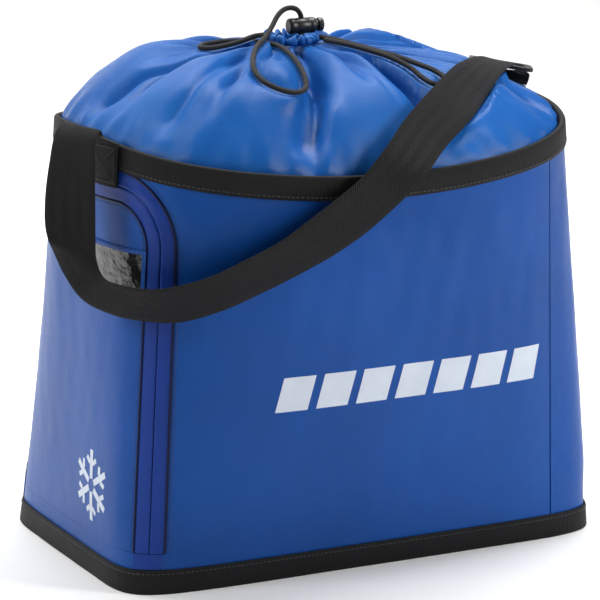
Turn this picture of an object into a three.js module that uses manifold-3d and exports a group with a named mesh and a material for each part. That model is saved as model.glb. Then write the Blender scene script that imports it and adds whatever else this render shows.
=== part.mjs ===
// A ski boot bag: a stiffened square tote with a drawcord collar, a zipped boot door in one end,
// a webbing shoulder strap and a barrel cord lock.
// Millimetres, +Z up, the long front face towards -Y, the zipped end towards -X.
// The origin is on the floor, under the middle of the base.
import * as THREE from "three";
import { mergeVertices } from "three/addons/utils/BufferGeometryUtils.js";
import Module from "manifold-3d";

const wasm = await Module();
wasm.setup();

// ---------- driving dimensions ----------

const BASE_HALF_LENGTH = 200;
const BASE_HALF_DEPTH = 124;
const BASE_SQUARENESS = 8.8; // superellipse exponent: a box with small corner radii
const RIM_HALF_LENGTH = 189;
const RIM_FRONT_DEPTH = 158; // the front bellies out towards the rim
const RIM_BACK_DEPTH = 105;
const RIM_SQUARENESS = 2.9;
const RIM_HEIGHT = 331;
const RIM_FRONT_DIP = 27; // how far the rim sags in the middle of each long side
const RIM_BACK_DIP = 10;

const GAP = 0.3; // between sewn layers
const SHELL_THICKNESS = 1.6;
const FOAM_THICKNESS = 4;
const LINING_THICKNESS = 1;
const FOAM_OUTSIDE = -(SHELL_THICKNESS + GAP);
const FOAM_INSIDE = FOAM_OUTSIDE - FOAM_THICKNESS;
const LINING_OUTSIDE = FOAM_INSIDE - GAP;
const LINING_INSIDE = LINING_OUTSIDE - LINING_THICKNESS;

const BAND_HEIGHT = 18.5;
const BAND_INSIDE = GAP;
const BAND_OUTSIDE = 1.6;
const BINDING_HEIGHT = 18.5;
const BASE_SHEET_TOP = 2.5;
const BASE_BOARD_TOP = 5.8;
const FLOOR_LINING_TOP = 7.4;
const SHELL_BOTTOM = 2.8;

const SILL_TOP = 30.7; // the door folds along this line
const DOOR_BOTTOM = 31;
const ZIP_CENTRE = 0.397; // where the zip legs stand, as a share of a quarter of the way round
const ZIP_ARCH_HEIGHT = 296;
const ZIP_ARCH_RADIUS = 43;
const TAPE_HALF_WIDTH = 11;
const TAPE_PARTING = 0.7; // half the slit that the slider's post runs in
const MM_PER_QUARTER = 300; // one quarter of the way round, along the surface

const CORD_DIAMETER = 4;
const WEBBING_THICKNESS = 1.8;

// ---------- colours and finishes ----------

function finish(colour, roughness, metalness = 0) {
  return new THREE.MeshStandardMaterial({ color: colour, roughness, metalness, side: THREE.DoubleSide });
}

const TARPAULIN = finish("#20489c", 0.5);
const COLLAR_NYLON = finish("#3a6fc4", 0.45);
const ZIP_TAPE = finish("#1b2f86", 0.7);
const WEBBING = finish("#2f2f30", 0.75);
const BINDING = finish("#28272a", 0.55);
const FOAM = finish("#6d6f72", 0.9);
const LINING = finish("#303236", 0.8);
const BOARD = finish("#222326", 0.6);
const BLACK_PLASTIC = finish("#1d1c1d", 0.4);
const CLEAR_FILM = finish("#1a1b1c", 0.15);
const CARD = finish("#3a3b3a", 0.6);
const CORD = finish("#232220", 0.7);
const STEEL = finish("#8f9297", 0.3, 1);
const GUNMETAL = finish("#55585c", 0.35, 1);
const PULL_RUBBER = finish("#16388a", 0.45);

// ---------- small helpers ----------

function range(count) {
  return Array.from({ length: count }, (_, i) => i);
}

function spread(from, to, steps) {
  return range(steps + 1).map((i) => from + ((to - from) * i) / steps);
}

function point(x, y, z) {
  return new THREE.Vector3(x, y, z);
}

const bag = new THREE.Group();

function addPart(name, geometry, material, group = bag) {
  const mesh = new THREE.Mesh(geometry, material);
  mesh.name = name;
  group.add(mesh);
  return mesh;
}

function toSolid(geometry) {
  const bare = new THREE.BufferGeometry();
  const loose = geometry.index ? geometry.toNonIndexed() : geometry;
  bare.setAttribute("position", loose.getAttribute("position").clone());
  const merged = mergeVertices(bare, 1e-4);
  return new wasm.Manifold(
    new wasm.Mesh({
      numProp: 3,
      vertProperties: merged.attributes.position.array,
      triVerts: new Uint32Array(merged.index.array),
    }),
  );
}

function fromSolid(solid) {
  const mesh = solid.getMesh();
  const geometry = new THREE.BufferGeometry();
  geometry.setAttribute("position", new THREE.BufferAttribute(mesh.vertProperties, 3));
  geometry.setIndex(new THREE.BufferAttribute(mesh.triVerts, 1));
  return geometry;
}

// A closed sheet with thickness between two grids of points, outer[i][j] and inner[i][j].
// Seen from outside, i runs to the right and j runs up. A ring joins its last row to its first.
function sheet(outer, inner, ring = false) {
  const rows = outer.length;
  const columns = outer[0].length;
  const positions = [];
  for (const grid of [outer, inner]) {
    for (const row of grid) {
      for (const p of row) positions.push(p.x, p.y, p.z);
    }
  }
  const out = (i, j) => (i % rows) * columns + j;
  const back = (i, j) => rows * columns + out(i, j);
  const faces = [];
  const quad = (a, b, c, d) => faces.push(a, b, c, a, c, d);
  const spans = ring ? rows : rows - 1;
  for (const i of range(spans)) {
    for (const j of range(columns - 1)) {
      quad(out(i, j), out(i + 1, j), out(i + 1, j + 1), out(i, j + 1));
      quad(back(i, j), back(i, j + 1), back(i + 1, j + 1), back(i + 1, j));
    }
    const top = columns - 1;
    quad(out(i, 0), back(i, 0), back(i + 1, 0), out(i + 1, 0));
    quad(out(i, top), out(i + 1, top), back(i + 1, top), back(i, top));
  }
  if (!ring) {
    const last = rows - 1;
    for (const j of range(columns - 1)) {
      quad(out(0, j), out(0, j + 1), back(0, j + 1), back(0, j));
      quad(out(last, j), back(last, j), back(last, j + 1), out(last, j + 1));
    }
  }
  const geometry = new THREE.BufferGeometry();
  geometry.setAttribute("position", new THREE.Float32BufferAttribute(positions, 3));
  geometry.setIndex(faces);
  return geometry;
}

// ---------- the shape of the bag's wall ----------

// A quarter of a superellipse, from its end on X to its end on Y, as a function of the share of
// its length.
function quarterOf(halfLength, halfDepth, exponent) {
  const samples = 600;
  const points = spread(0, Math.PI / 2, samples).map((angle) => {
    const c = Math.cos(angle);
    const s = Math.sin(angle);
    const r = ((c / halfLength) ** exponent + (s / halfDepth) ** exponent) ** (-1 / exponent);
    return [r * c, r * s];
  });
  const lengths = [0];
  for (const i of range(samples)) {
    const step = Math.hypot(points[i + 1][0] - points[i][0], points[i + 1][1] - points[i][1]);
    lengths.push(lengths[i] + step);
  }
  return (share) => {
    const wanted = Math.min(Math.max(share, 0), 1) * lengths[samples];
    let i = lengths.findIndex((length) => length >= wanted);
    i = Math.max(i, 1);
    const t = (wanted - lengths[i - 1]) / (lengths[i] - lengths[i - 1]);
    return [
      points[i - 1][0] + (points[i][0] - points[i - 1][0]) * t,
      points[i - 1][1] + (points[i][1] - points[i - 1][1]) * t,
    ];
  };
}

const baseQuarter = quarterOf(BASE_HALF_LENGTH, BASE_HALF_DEPTH, BASE_SQUARENESS);
const rimFrontQuarter = quarterOf(RIM_HALF_LENGTH, RIM_FRONT_DEPTH, RIM_SQUARENESS);
const rimBackQuarter = quarterOf(RIM_HALF_LENGTH, RIM_BACK_DEPTH, RIM_SQUARENESS);

// The outline at turn w. Turn 0 is the middle of the zipped end, 1 the middle of the front, 2 the
// middle of the far end and 3 the middle of the back.
function outline(w, front, back) {
  const turn = ((w % 4) + 4) % 4;
  const quarter = Math.floor(turn);
  const share = turn - quarter;
  const fromEnd = quarter % 2 === 0;
  const curve = quarter < 2 ? front : back;
  const [x, y] = curve(fromEnd ? share : 1 - share);
  const xSign = quarter === 0 || quarter === 3 ? -1 : 1;
  const ySign = quarter < 2 ? -1 : 1;
  return [xSign * x, ySign * y];
}

function wallPoint(w, z) {
  const t = z / RIM_HEIGHT;
  const [bx, by] = outline(w, baseQuarter, baseQuarter);
  const [rx, ry] = outline(w, rimFrontQuarter, rimBackQuarter);
  return point(bx + (rx - bx) * t, by + (ry - by) * t, z);
}

// A point that stands `offset` outside the wall at turn w and height z.
function wall(w, z, offset = 0) {
  const reach = 0.004;
  const along = wallPoint(w + reach, z).sub(wallPoint(w - reach, z)).normalize();
  return wallPoint(w, z).add(point(along.y * offset, -along.x * offset, 0));
}

function rimHeight(w) {
  const [x, y] = outline(w, rimFrontQuarter, rimBackQuarter);
  const depth = y < 0 ? RIM_FRONT_DEPTH : RIM_BACK_DEPTH;
  const swing = Math.sin(Math.atan2(y / depth, x / RIM_HALF_LENGTH)) ** 2;
  return RIM_HEIGHT - (y < 0 ? RIM_FRONT_DIP : RIM_BACK_DIP) * swing;
}

// Every layer of the wall is faceted at the same turns and heights, so that layers that lie on
// each other stay parallel. The turns are close together at the corners.
const QUARTER_TURNS = [
  0, 0.08, 0.16, 0.24, 0.29, 0.33, 0.36, 0.39, 0.42, 0.435, 0.46, 0.5, 0.57, 0.66, 0.76, 0.88,
];
const ringTurns = range(4).flatMap((quarter) => {
  const mirrored = QUARTER_TURNS.map((share) => 1 - share).reverse();
  return (quarter % 2 === 0 ? QUARTER_TURNS : mirrored).map((share) => quarter + share);
});
const LEVELS = [BAND_HEIGHT, SILL_TOP, 150];
const BELOW_BINDING = 20;

function turnsBetween(from, to, more = []) {
  const turns = [...ringTurns.map((w) => w - 4), ...ringTurns, ...more];
  const inside = turns.filter((w) => w > from + 0.004 && w < to - 0.004).sort((a, b) => a - b);
  return [from, ...inside.filter((w, i) => i === 0 || w - inside[i - 1] > 0.001), to];
}

// A layer of the wall over the given turns, between two heights and two offsets.
function layer(turns, low, high, outside, inside, ring = false) {
  const lowest = Math.max(...turns.map(low));
  const highest = Math.min(...turns.map(high));
  const between = LEVELS.filter((z) => z > lowest + 1 && z < highest - 1);
  const crossesBinding = turns.every((w) => high(w) > rimHeight(w) - BELOW_BINDING + 1);
  const startsBelow = turns.every((w) => low(w) < rimHeight(w) - BELOW_BINDING - 1);
  const heights = (w) => {
    const nearRim = crossesBinding && startsBelow ? [rimHeight(w) - BELOW_BINDING] : [];
    return [low(w), ...between, ...nearRim, high(w)];
  };
  const outer = turns.map((w) => heights(w).map((z) => wall(w, z, outside)));
  const inner = turns.map((w) => heights(w).map((z) => wall(w, z, inside)));
  return sheet(outer, inner, ring);
}

const at = (height) => () => height;

// ---------- the zip's path ----------

const archFoot = ZIP_ARCH_HEIGHT - ZIP_ARCH_RADIUS;
const cornerTurn = ZIP_CENTRE - ZIP_ARCH_RADIUS / MM_PER_QUARTER;

// The zip runs up the front corner, over a round-cornered arch and down the rear corner.
// Each step holds its turn, its height and the direction that points away from the door.
function zipSteps(bottom) {
  const leg = [bottom, 150];
  const bends = spread(0, Math.PI / 2, 7);
  const half = [
    ...leg.map((z) => ({ w: ZIP_CENTRE, z, aside: 1, up: 0 })),
    ...bends.map((angle) => ({
      w: cornerTurn + (ZIP_ARCH_RADIUS * Math.cos(angle)) / MM_PER_QUARTER,
      z: archFoot + ZIP_ARCH_RADIUS * Math.sin(angle),
      aside: Math.cos(angle),
      up: Math.sin(angle),
    })),
    ...[0.16, 0.08].map((w) => ({ w, z: ZIP_ARCH_HEIGHT, aside: 0, up: 1 })),
  ];
  const mirrored = half.map((s) => ({ ...s, w: -s.w, aside: -s.aside })).reverse();
  return [...half, ...mirrored];
}

function besideZip(step, distance) {
  return [step.w + (step.aside * distance) / MM_PER_QUARTER, step.z + step.up * distance];
}

// A strip beside the zip, between two distances from its centre line. The distances are positive
// on the shell's side and negative on the door's side.
function zipStrip(bottom, near, far, outside, inside) {
  const grid = (offset) =>
    zipSteps(bottom).map((step) =>
      [near, far].map((distance) => {
        const [w, z] = besideZip(step, distance);
        return wall(w, z, offset);
      }),
    );
  return sheet(grid(inside), grid(outside));
}

// The height of a line that follows the arch at a distance from the zip.
function archHeight(w, distance) {
  const radius = ZIP_ARCH_RADIUS + distance;
  const beyond = Math.max(0, Math.abs(w) - cornerTurn) * MM_PER_QUARTER;
  return archFoot + Math.sqrt(Math.max(0, radius ** 2 - beyond ** 2));
}

// The turns of a panel that ends along such a line.
function archTurns(distance) {
  const onLine = zipSteps(DOOR_BOTTOM).map((step) => besideZip(step, distance)[0]);
  const edge = Math.max(...onLine);
  return turnsBetween(-edge, edge, onLine);
}

// ---------- the base ----------

// A flat plate of the base's outline, with its faces fanned out from the middle.
function basePlate(inset, bottom, top) {
  const edge = ringTurns.map((w) => wall(w, 0, -inset));
  const count = edge.length;
  const positions = [bottom, top].flatMap((z) => edge.flatMap((p) => [p.x, p.y, z]));
  positions.push(0, 0, bottom, 0, 0, top);
  const faces = range(count).flatMap((i) => {
    const next = (i + 1) % count;
    const side = [i, next, count + next, i, count + next, count + i];
    return [...side, 2 * count, next, i, 2 * count + 1, count + i, count + next];
  });
  const geometry = new THREE.BufferGeometry();
  geometry.setAttribute("position", new THREE.Float32BufferAttribute(positions, 3));
  geometry.setIndex(faces);
  return geometry;
}

addPart("base_sheet", basePlate(GAP, 0, BASE_SHEET_TOP), BINDING);
addPart("base_board", basePlate(SHELL_THICKNESS + 2, SHELL_BOTTOM, BASE_BOARD_TOP), BOARD);
addPart("floor_lining", basePlate(SHELL_THICKNESS + 6, BASE_BOARD_TOP + GAP, FLOOR_LINING_TOP), LINING);
addPart("base_band", layer(ringTurns, at(0), at(BAND_HEIGHT), BAND_OUTSIDE, BAND_INSIDE, true), BINDING);

// ---------- the outer panels ----------

const shellEdge = ZIP_CENTRE + (TAPE_HALF_WIDTH - 1 + GAP) / MM_PER_QUARTER + 0.001;
const CORNER_SEAM = 0.002; // half the gap at a seam, in turns
const shellTop = (w) => rimHeight(w) - 2;

function shellPanel(from, to) {
  return layer(turnsBetween(from, to), at(SHELL_BOTTOM), shellTop, 0, -SHELL_THICKNESS);
}

addPart("front_panel", shellPanel(shellEdge, 1.5 - CORNER_SEAM), TARPAULIN);
addPart("far_end_panel", shellPanel(1.5 + CORNER_SEAM, 2.5 - CORNER_SEAM), TARPAULIN);
addPart("back_panel", shellPanel(2.5 + CORNER_SEAM, 4 - shellEdge), TARPAULIN);

const OVER_ARCH = TAPE_HALF_WIDTH - 1 + GAP;
const overArch = (w) => archHeight(w, OVER_ARCH);
addPart("arch_panel", layer(archTurns(OVER_ARCH), overArch, shellTop, 0, -SHELL_THICKNESS), TARPAULIN);
const sillTurns = turnsBetween(-shellEdge + CORNER_SEAM, shellEdge - CORNER_SEAM);
addPart("door_sill", layer(sillTurns, at(SHELL_BOTTOM), at(SILL_TOP), 0, -SHELL_THICKNESS), TARPAULIN);

// ---------- the stiffening foam and the lining ----------

const FOAM_BOTTOM = 8;
const FOAM_RIM_CLEARANCE = 22;
const foamTop = (w) => rimHeight(w) - FOAM_RIM_CLEARANCE;

function foamBoard(from, to) {
  return layer(turnsBetween(from, to), at(FOAM_BOTTOM), foamTop, FOAM_OUTSIDE, FOAM_INSIDE);
}

addPart("front_foam", foamBoard(0.46, 1.43), FOAM);
addPart("far_end_foam", foamBoard(1.54, 2.46), FOAM);
addPart("back_foam", foamBoard(2.57, 3.54), FOAM);
const liningTurns = turnsBetween(0.46, 3.54);
addPart("lining", layer(liningTurns, at(FOAM_BOTTOM), foamTop, LINING_OUTSIDE, LINING_INSIDE), LINING);

// ---------- the rim binding ----------

// A tape folded over the top edge of the wall, so its section is an upturned U.
function bindingGeometry() {
  const tape = 1.2;
  const innerLeg = FOAM_OUTSIDE;
  const section = (w, outside, inside, top) => {
    const bottom = rimHeight(w) - BINDING_HEIGHT;
    return [wall(w, bottom, outside), wall(w, top, outside), wall(w, top, inside), wall(w, bottom, inside)];
  };
  const outer = ringTurns.map((w) => section(w, BAND_OUTSIDE, innerLeg - tape, rimHeight(w)));
  const inner = ringTurns.map((w) => section(w, BAND_INSIDE, innerLeg, rimHeight(w) - tape));
  return sheet(outer, inner, true);
}

addPart("rim_binding", bindingGeometry(), BINDING);

// ---------- the gathered collar ----------

const GATHER = { x: -10, y: 0 };
const COLLAR_TOP = 378;
const COLLAR_INSET = 3.6; // it is sewn in behind the binding
const COLLAR_THICKNESS = 1.6;
const MOUTH_RADIUS = 9;
const STRAP_PRESS = 26; // how far the strap presses the collar down
const STRAP_TURN = 1.6; // where round the rim it does so

// The collar stands up from the rim and closes over the mouth. It is lower where the strap
// presses on it, over the front right.
function collarPoint(w, share, sink) {
  const rim = wall(w, rimHeight(w), -COLLAR_INSET - sink);
  const pressed = STRAP_PRESS * Math.max(0, Math.cos(((w - STRAP_TURN) * Math.PI) / 2));
  const rise = (1 - share ** 4) ** 0.8;
  const top = COLLAR_TOP - sink - pressed * Math.min(1, (share * 1.2) ** 2);
  return point(
    GATHER.x + (rim.x - GATHER.x) * share,
    GATHER.y + (rim.y - GATHER.y) * share,
    rim.z - 2 + (top - rim.z + 2) * rise,
  );
}

function collarGrid(sink) {
  return ringTurns.map((w) => {
    const foot = wall(w, rimHeight(w) - 17, -COLLAR_INSET - sink);
    const shares = [1, 0.97, 0.92, 0.84, 0.74, 0.62, 0.46, 0.28];
    const mouth = collarPoint(w, 0.1, sink);
    const inward = point(mouth.x - GATHER.x, mouth.y - GATHER.y, 0).setLength(MOUTH_RADIUS);
    mouth.x = GATHER.x + inward.x;
    mouth.y = GATHER.y + inward.y;
    return [foot, ...shares.map((share) => collarPoint(w, share, sink)), mouth];
  });
}

addPart("collar", sheet(collarGrid(0), collarGrid(COLLAR_THICKNESS), true), COLLAR_NYLON);

// The casing that the drawcord runs in, bunched into a tight ring round the closed mouth.
function casingGeometry() {
  const tube = 2.6;
  const section = range(8).map((i) => {
    const angle = (i * Math.PI) / 4;
    return new THREE.Vector2(17 + 4 * Math.cos(angle), tube * Math.sin(angle));
  });
  const ring = new THREE.LatheGeometry([...section, section[0]], 20);
  return ring.rotateX(Math.PI / 2).translate(GATHER.x, GATHER.y, COLLAR_TOP + GAP + tube);
}

addPart("drawcord_casing", casingGeometry(), COLLAR_NYLON);

// ---------- the zip ----------

const TAPE_OUTSIDE = 0;
const TAPE_INSIDE = -0.9;
const COIL_INSIDE = -2.9;

addPart(
  "zip_tape_shell",
  zipStrip(DOOR_BOTTOM, TAPE_PARTING, TAPE_HALF_WIDTH - 1, TAPE_OUTSIDE, TAPE_INSIDE),
  ZIP_TAPE,
);
addPart(
  "zip_coil_shell",
  zipStrip(DOOR_BOTTOM, TAPE_PARTING, 3, TAPE_INSIDE - GAP, COIL_INSIDE),
  ZIP_TAPE,
);

function endPatch(side) {
  const edges = [side * (ZIP_CENTRE - 0.037), side * (ZIP_CENTRE + 0.033)].sort((a, b) => a - b);
  return layer(turnsBetween(...edges), at(BAND_HEIGHT + 1), at(SILL_TOP - 0.2), 1.2, GAP);
}

addPart("zip_end_patch_front", endPatch(1), ZIP_TAPE);
addPart("zip_end_patch_rear", endPatch(-1), ZIP_TAPE);

// ---------- the door ----------

const door = new THREE.Group();
bag.add(door);
const UNDER_ARCH = -TAPE_HALF_WIDTH - GAP;
const FOAM_UNDER_ARCH = -TAPE_HALF_WIDTH - 3;
const doorTurns = archTurns(UNDER_ARCH);
const foamEdge = ZIP_CENTRE + FOAM_UNDER_ARCH / MM_PER_QUARTER;
const doorFoamTurns = [-foamEdge, ...doorTurns.filter((w) => Math.abs(w) < foamEdge - 0.001), foamEdge];

function doorLayer(turns, bottom, distance, outside, inside) {
  return layer(turns, at(bottom), (w) => archHeight(w, distance), outside, inside);
}

addPart("door_panel", doorLayer(doorTurns, DOOR_BOTTOM, UNDER_ARCH, 0, -SHELL_THICKNESS), TARPAULIN, door);
for (const [name, outside, inside, material] of [
  ["door_foam", FOAM_OUTSIDE, FOAM_INSIDE, FOAM],
  ["door_lining", LINING_OUTSIDE, LINING_INSIDE, LINING],
]) {
  addPart(name, doorLayer(doorFoamTurns, DOOR_BOTTOM + 3, FOAM_UNDER_ARCH, outside, inside), material, door);
}
addPart(
  "zip_tape_door",
  zipStrip(DOOR_BOTTOM, -TAPE_HALF_WIDTH, -TAPE_PARTING, TAPE_OUTSIDE, TAPE_INSIDE),
  ZIP_TAPE,
  door,
);
addPart(
  "zip_coil_door",
  zipStrip(DOOR_BOTTOM, -3, -TAPE_PARTING, TAPE_INSIDE - GAP, COIL_INSIDE),
  ZIP_TAPE,
  door,
);

const WINDOW = { from: 0.075, to: 0.352, bottom: 207, top: 251 };

function windowLayer(outside, inside, border) {
  const inset = border / MM_PER_QUARTER;
  const turns = turnsBetween(WINDOW.from + inset, WINDOW.to - inset, doorTurns);
  return layer(turns, at(WINDOW.bottom + border), at(WINDOW.top - border), outside, inside);
}

addPart("name_card", windowLayer(0.8, GAP, 4), CARD, door);
addPart("card_window", windowLayer(1.6, 1.1, 0), CLEAR_FILM, door);

// ---------- the slider and its pull ----------

// The slider is parked at the foot of the rear leg. Its frame has its origin on the zip's centre
// line, X out of the bag, Y towards the shell's side of the slit and Z up the leg.
const SLIDER_HEIGHT = 46;
const rearLeg = 4 - ZIP_CENTRE;
const sliderPlace = wallPoint(rearLeg, SLIDER_HEIGHT);
const legDirection = wallPoint(rearLeg, 250).sub(wallPoint(rearLeg, 50)).normalize();
const legOutward = wall(rearLeg, SLIDER_HEIGHT, 1).sub(sliderPlace).normalize();
const legAside = new THREE.Vector3().crossVectors(legDirection, legOutward).normalize();
const legSquareOutward = new THREE.Vector3().crossVectors(legAside, legDirection).normalize();
const towardsShell = wallPoint(rearLeg - 0.02, SLIDER_HEIGHT).sub(sliderPlace).dot(legAside) > 0 ? 1 : -1;

function legFrame() {
  const group = new THREE.Group();
  const axes = new THREE.Matrix4().makeBasis(legSquareOutward, legAside, legDirection);
  group.quaternion.setFromRotationMatrix(axes);
  group.position.copy(sliderPlace);
  bag.add(group);
  return group;
}

function block(xFrom, xTo, yFrom, yTo, zFrom, zTo) {
  const box = new THREE.BoxGeometry(xTo - xFrom, yTo - yFrom, zTo - zFrom);
  return box.translate((xFrom + xTo) / 2, (yFrom + yTo) / 2, (zFrom + zTo) / 2);
}

const sliderFrame = legFrame();
const BRIDGE_TOP = 8.8;

// The slider's outer plate lies over the shell's tape, and a bridge on it holds the pull's ring.
function sliderGeometry() {
  const s = towardsShell;
  const sideways = (from, to) => [Math.min(s * from, s * to), Math.max(s * from, s * to)];
  const plate = toSolid(block(1.2, 2.6, ...sideways(-0.4, 7.6), -7, 7));
  const bridgeFoot = toSolid(block(2.5, BRIDGE_TOP, ...sideways(0.6, 3.4), -6.6, -4.4));
  const bridgeHead = toSolid(block(2.5, BRIDGE_TOP, ...sideways(0.6, 3.4), 4.4, 6.6));
  const bridgeTop = toSolid(block(BRIDGE_TOP - 1.3, BRIDGE_TOP, ...sideways(0.6, 3.4), -6.6, 6.6));
  const post = toSolid(block(-0.2, 1.3, ...sideways(-0.4, 0.4), -5, 5));
  return fromSolid(plate.add(bridgeFoot).add(bridgeHead).add(bridgeTop).add(post));
}

addPart("zip_slider", sliderGeometry(), GUNMETAL, sliderFrame);

// The ring hangs in the bridge and the moulded pull hangs on the ring.
const pullFrame = legFrame();
const RING_RADIUS = 5.2;
const RING_WIRE = 0.8;
const ringCentre = point(6.1, towardsShell * 2, -RING_RADIUS - 3);
const ring = new THREE.TorusGeometry(RING_RADIUS, RING_WIRE, 6, 18);
ring.rotateY(Math.PI / 2).translate(ringCentre.x, ringCentre.y, ringCentre.z);
addPart("pull_ring", ring, STEEL, pullFrame);

function pullGeometry() {
  const halfWidth = 4;
  const length = 30;
  const thickness = 2.6;
  const holeRadius = 2.3;
  const shape = new THREE.Shape();
  shape.absarc(0, 0, halfWidth, 0, Math.PI);
  shape.absarc(0, 2 * halfWidth - length, halfWidth - 0.5, Math.PI, 2 * Math.PI);
  shape.closePath();
  shape.holes.push(new THREE.Path().absarc(0, 0, holeRadius, 0, 2 * Math.PI, true));
  const pull = new THREE.ExtrudeGeometry(shape, { depth: thickness, bevelEnabled: false, curveSegments: 8 });
  pull.translate(0, 0, -thickness / 2).rotateX(Math.PI / 2);
  const hang = RING_RADIUS + holeRadius - RING_WIRE - 0.5;
  return pull.translate(ringCentre.x, ringCentre.y, ringCentre.z - hang);
}

addPart("pull_tab", pullGeometry(), PULL_RUBBER, pullFrame);

// ---------- the drawcord and its lock ----------

function cordGeometry(route, steps) {
  const curve = new THREE.CatmullRomCurve3(route.map((p) => point(...p)), false, "centripetal");
  const section = range(8).map((i) => {
    const angle = (i * Math.PI) / 4;
    const radius = CORD_DIAMETER / 2;
    return new THREE.Vector2(radius * Math.cos(angle), radius * Math.sin(angle));
  });
  return new THREE.ExtrudeGeometry(new THREE.Shape(section), { steps, extrudePath: curve });
}

// From the casing, up through the lock, over in an arc, down into the loop that lies on the
// collar's front, back up, and out to the left in a long narrow loop that ends at the casing.
const LOOP_ROUTE = [
  [-1, 0, 381.5],
  [-1, 0, 386],
  [-1, 0, 391],
  [-1, 0, 396],
  [-2.3, 0, 400.5],
  [-5.5, 0, 403.8],
  [-10, 0, 405],
  [-16, -1, 404.2],
  [-22, -3, 400.5],
  [-29, -8, 394],
  [-39, -18, 388],
  [-57, -38, 383],
  [-72, -64, 378],
  [-79, -82, 373.5],
  [-79, -96, 368],
  [-71, -107, 363],
  [-60, -111, 360.5],
  [-50, -106, 362],
  [-44, -92, 368.5],
  [-39, -70, 375.5],
  [-35, -48, 379],
  [-33, -28, 381],
  [-36, -10, 381.5],
  [-44, 4, 381.5],
  [-57, 10, 381.5],
  [-70, 10, 381],
  [-80, 7, 380.5],
  [-85, 0, 380],
  [-81, -7.5, 380],
  [-71, -10.5, 381.5],
  [-57, -9, 383.5],
  [-43, -5, 386.2],
  [-31, 0, 386],
];

// From the casing along a fold of the collar to the far side of the strap, and back beside it.
const RUN_ROUTE = [
  [12, -4, 382],
  [18, -14, 381.5],
  [24, -30, 380],
  [34, -47, 377],
  [47, -62, 373],
  [59, -76, 368],
  [67, -87, 364],
  [70, -97, 359.5],
  [65, -105, 356.5],
  [56.5, -104.5, 357.5],
  [51, -96.5, 361.5],
  [48, -85, 367],
  [40, -70, 373],
  [27, -54, 378],
  [16, -36, 381],
  [9, -20, 382],
];

addPart("drawcord_loop", cordGeometry(LOOP_ROUTE, 78), CORD);
addPart("drawcord_run", cordGeometry(RUN_ROUTE, 44), CORD);

const LOCK = { x: -1, y: 0, z: 391, radius: 6, length: 22 };
const LOCK_BORE = 3;

// The barrel lies along X. The cord passes up through it, and it is hollow at its right end for
// the spring and the plunger.
function barrelGeometry() {
  const outline = [
    [0, -0.5],
    [0.82, -0.5],
    [1, -0.42],
    [1, 0.44],
    [0.9, 0.5],
    [0, 0.5],
  ].map(([r, x]) => new THREE.Vector2(r * LOCK.radius, x * LOCK.length));
  const barrel = toSolid(new THREE.LatheGeometry(outline, 20).rotateZ(-Math.PI / 2));
  const cordHole = toSolid(new THREE.CylinderGeometry(LOCK_BORE, LOCK_BORE, 20, 16).rotateX(Math.PI / 2));
  const well = toSolid(new THREE.CylinderGeometry(3.9, 3.9, 12, 20).rotateZ(Math.PI / 2).translate(11, 0, 0));
  return fromSolid(barrel.subtract(cordHole).subtract(well)).translate(LOCK.x, LOCK.y, LOCK.z);
}

addPart("lock_barrel", barrelGeometry(), BLACK_PLASTIC);

// The plunger's head stands out of the barrel and its stem runs in the well.
function plungerGeometry() {
  const outline = [
    [0, 6.2],
    [3.6, 6.2],
    [3.6, 11.4],
    [5.2, 11.9],
    [5.2, 15],
    [4.4, 16],
    [0, 16],
  ].map(([r, x]) => new THREE.Vector2(r, x));
  return new THREE.LatheGeometry(outline, 20).rotateZ(-Math.PI / 2).translate(LOCK.x, LOCK.y, LOCK.z);
}

addPart("lock_plunger", plungerGeometry().translate(1.6, 0, 0), BLACK_PLASTIC);

function springGeometry() {
  const turns = 2.5;
  const radius = 2.6;
  const wire = 0.6;
  const route = range(turns * 8 + 1).map((i) => {
    const angle = (i * Math.PI) / 4;
    const x = 5.4 + (1.8 * i) / (turns * 8);
    return point(LOCK.x + x, LOCK.y + radius * Math.cos(angle), LOCK.z + radius * Math.sin(angle));
  });
  const curve = new THREE.CatmullRomCurve3(route);
  const section = range(5).map((i) => {
    const angle = (i * Math.PI) / 2.5;
    return new THREE.Vector2(wire * Math.cos(angle) * 0.5, wire * Math.sin(angle) * 0.5);
  });
  return new THREE.ExtrudeGeometry(new THREE.Shape(section), { steps: 30, extrudePath: curve });
}

addPart("lock_spring", springGeometry(), STEEL);

// ---------- the shoulder strap ----------

// A flat webbing strap, given by its two edges: [upper or right edge, lower or left edge].
function webbing(edges, steps) {
  const curve = (side) =>
    new THREE.CatmullRomCurve3(edges.map((pair) => point(...pair[side])), false, "centripetal");
  const upper = curve(0);
  const lower = curve(1);
  const middle = (t) => upper.getPoint(t).add(lower.getPoint(t)).multiplyScalar(0.5);
  const grids = [[], []];
  for (const t of spread(0, 1, steps)) {
    const a = upper.getPoint(t);
    const b = lower.getPoint(t);
    const ahead = middle(Math.min(1, t + 0.004)).sub(middle(Math.max(0, t - 0.004)));
    const across = b.clone().sub(a);
    const face = new THREE.Vector3().crossVectors(across, ahead).setLength(WEBBING_THICKNESS / 2);
    grids[0].push([a.clone().sub(face), b.clone().sub(face)]);
    grids[1].push([a.clone().add(face), b.clone().add(face)]);
  }
  return sheet(grids[0], grids[1]);
}

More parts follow.
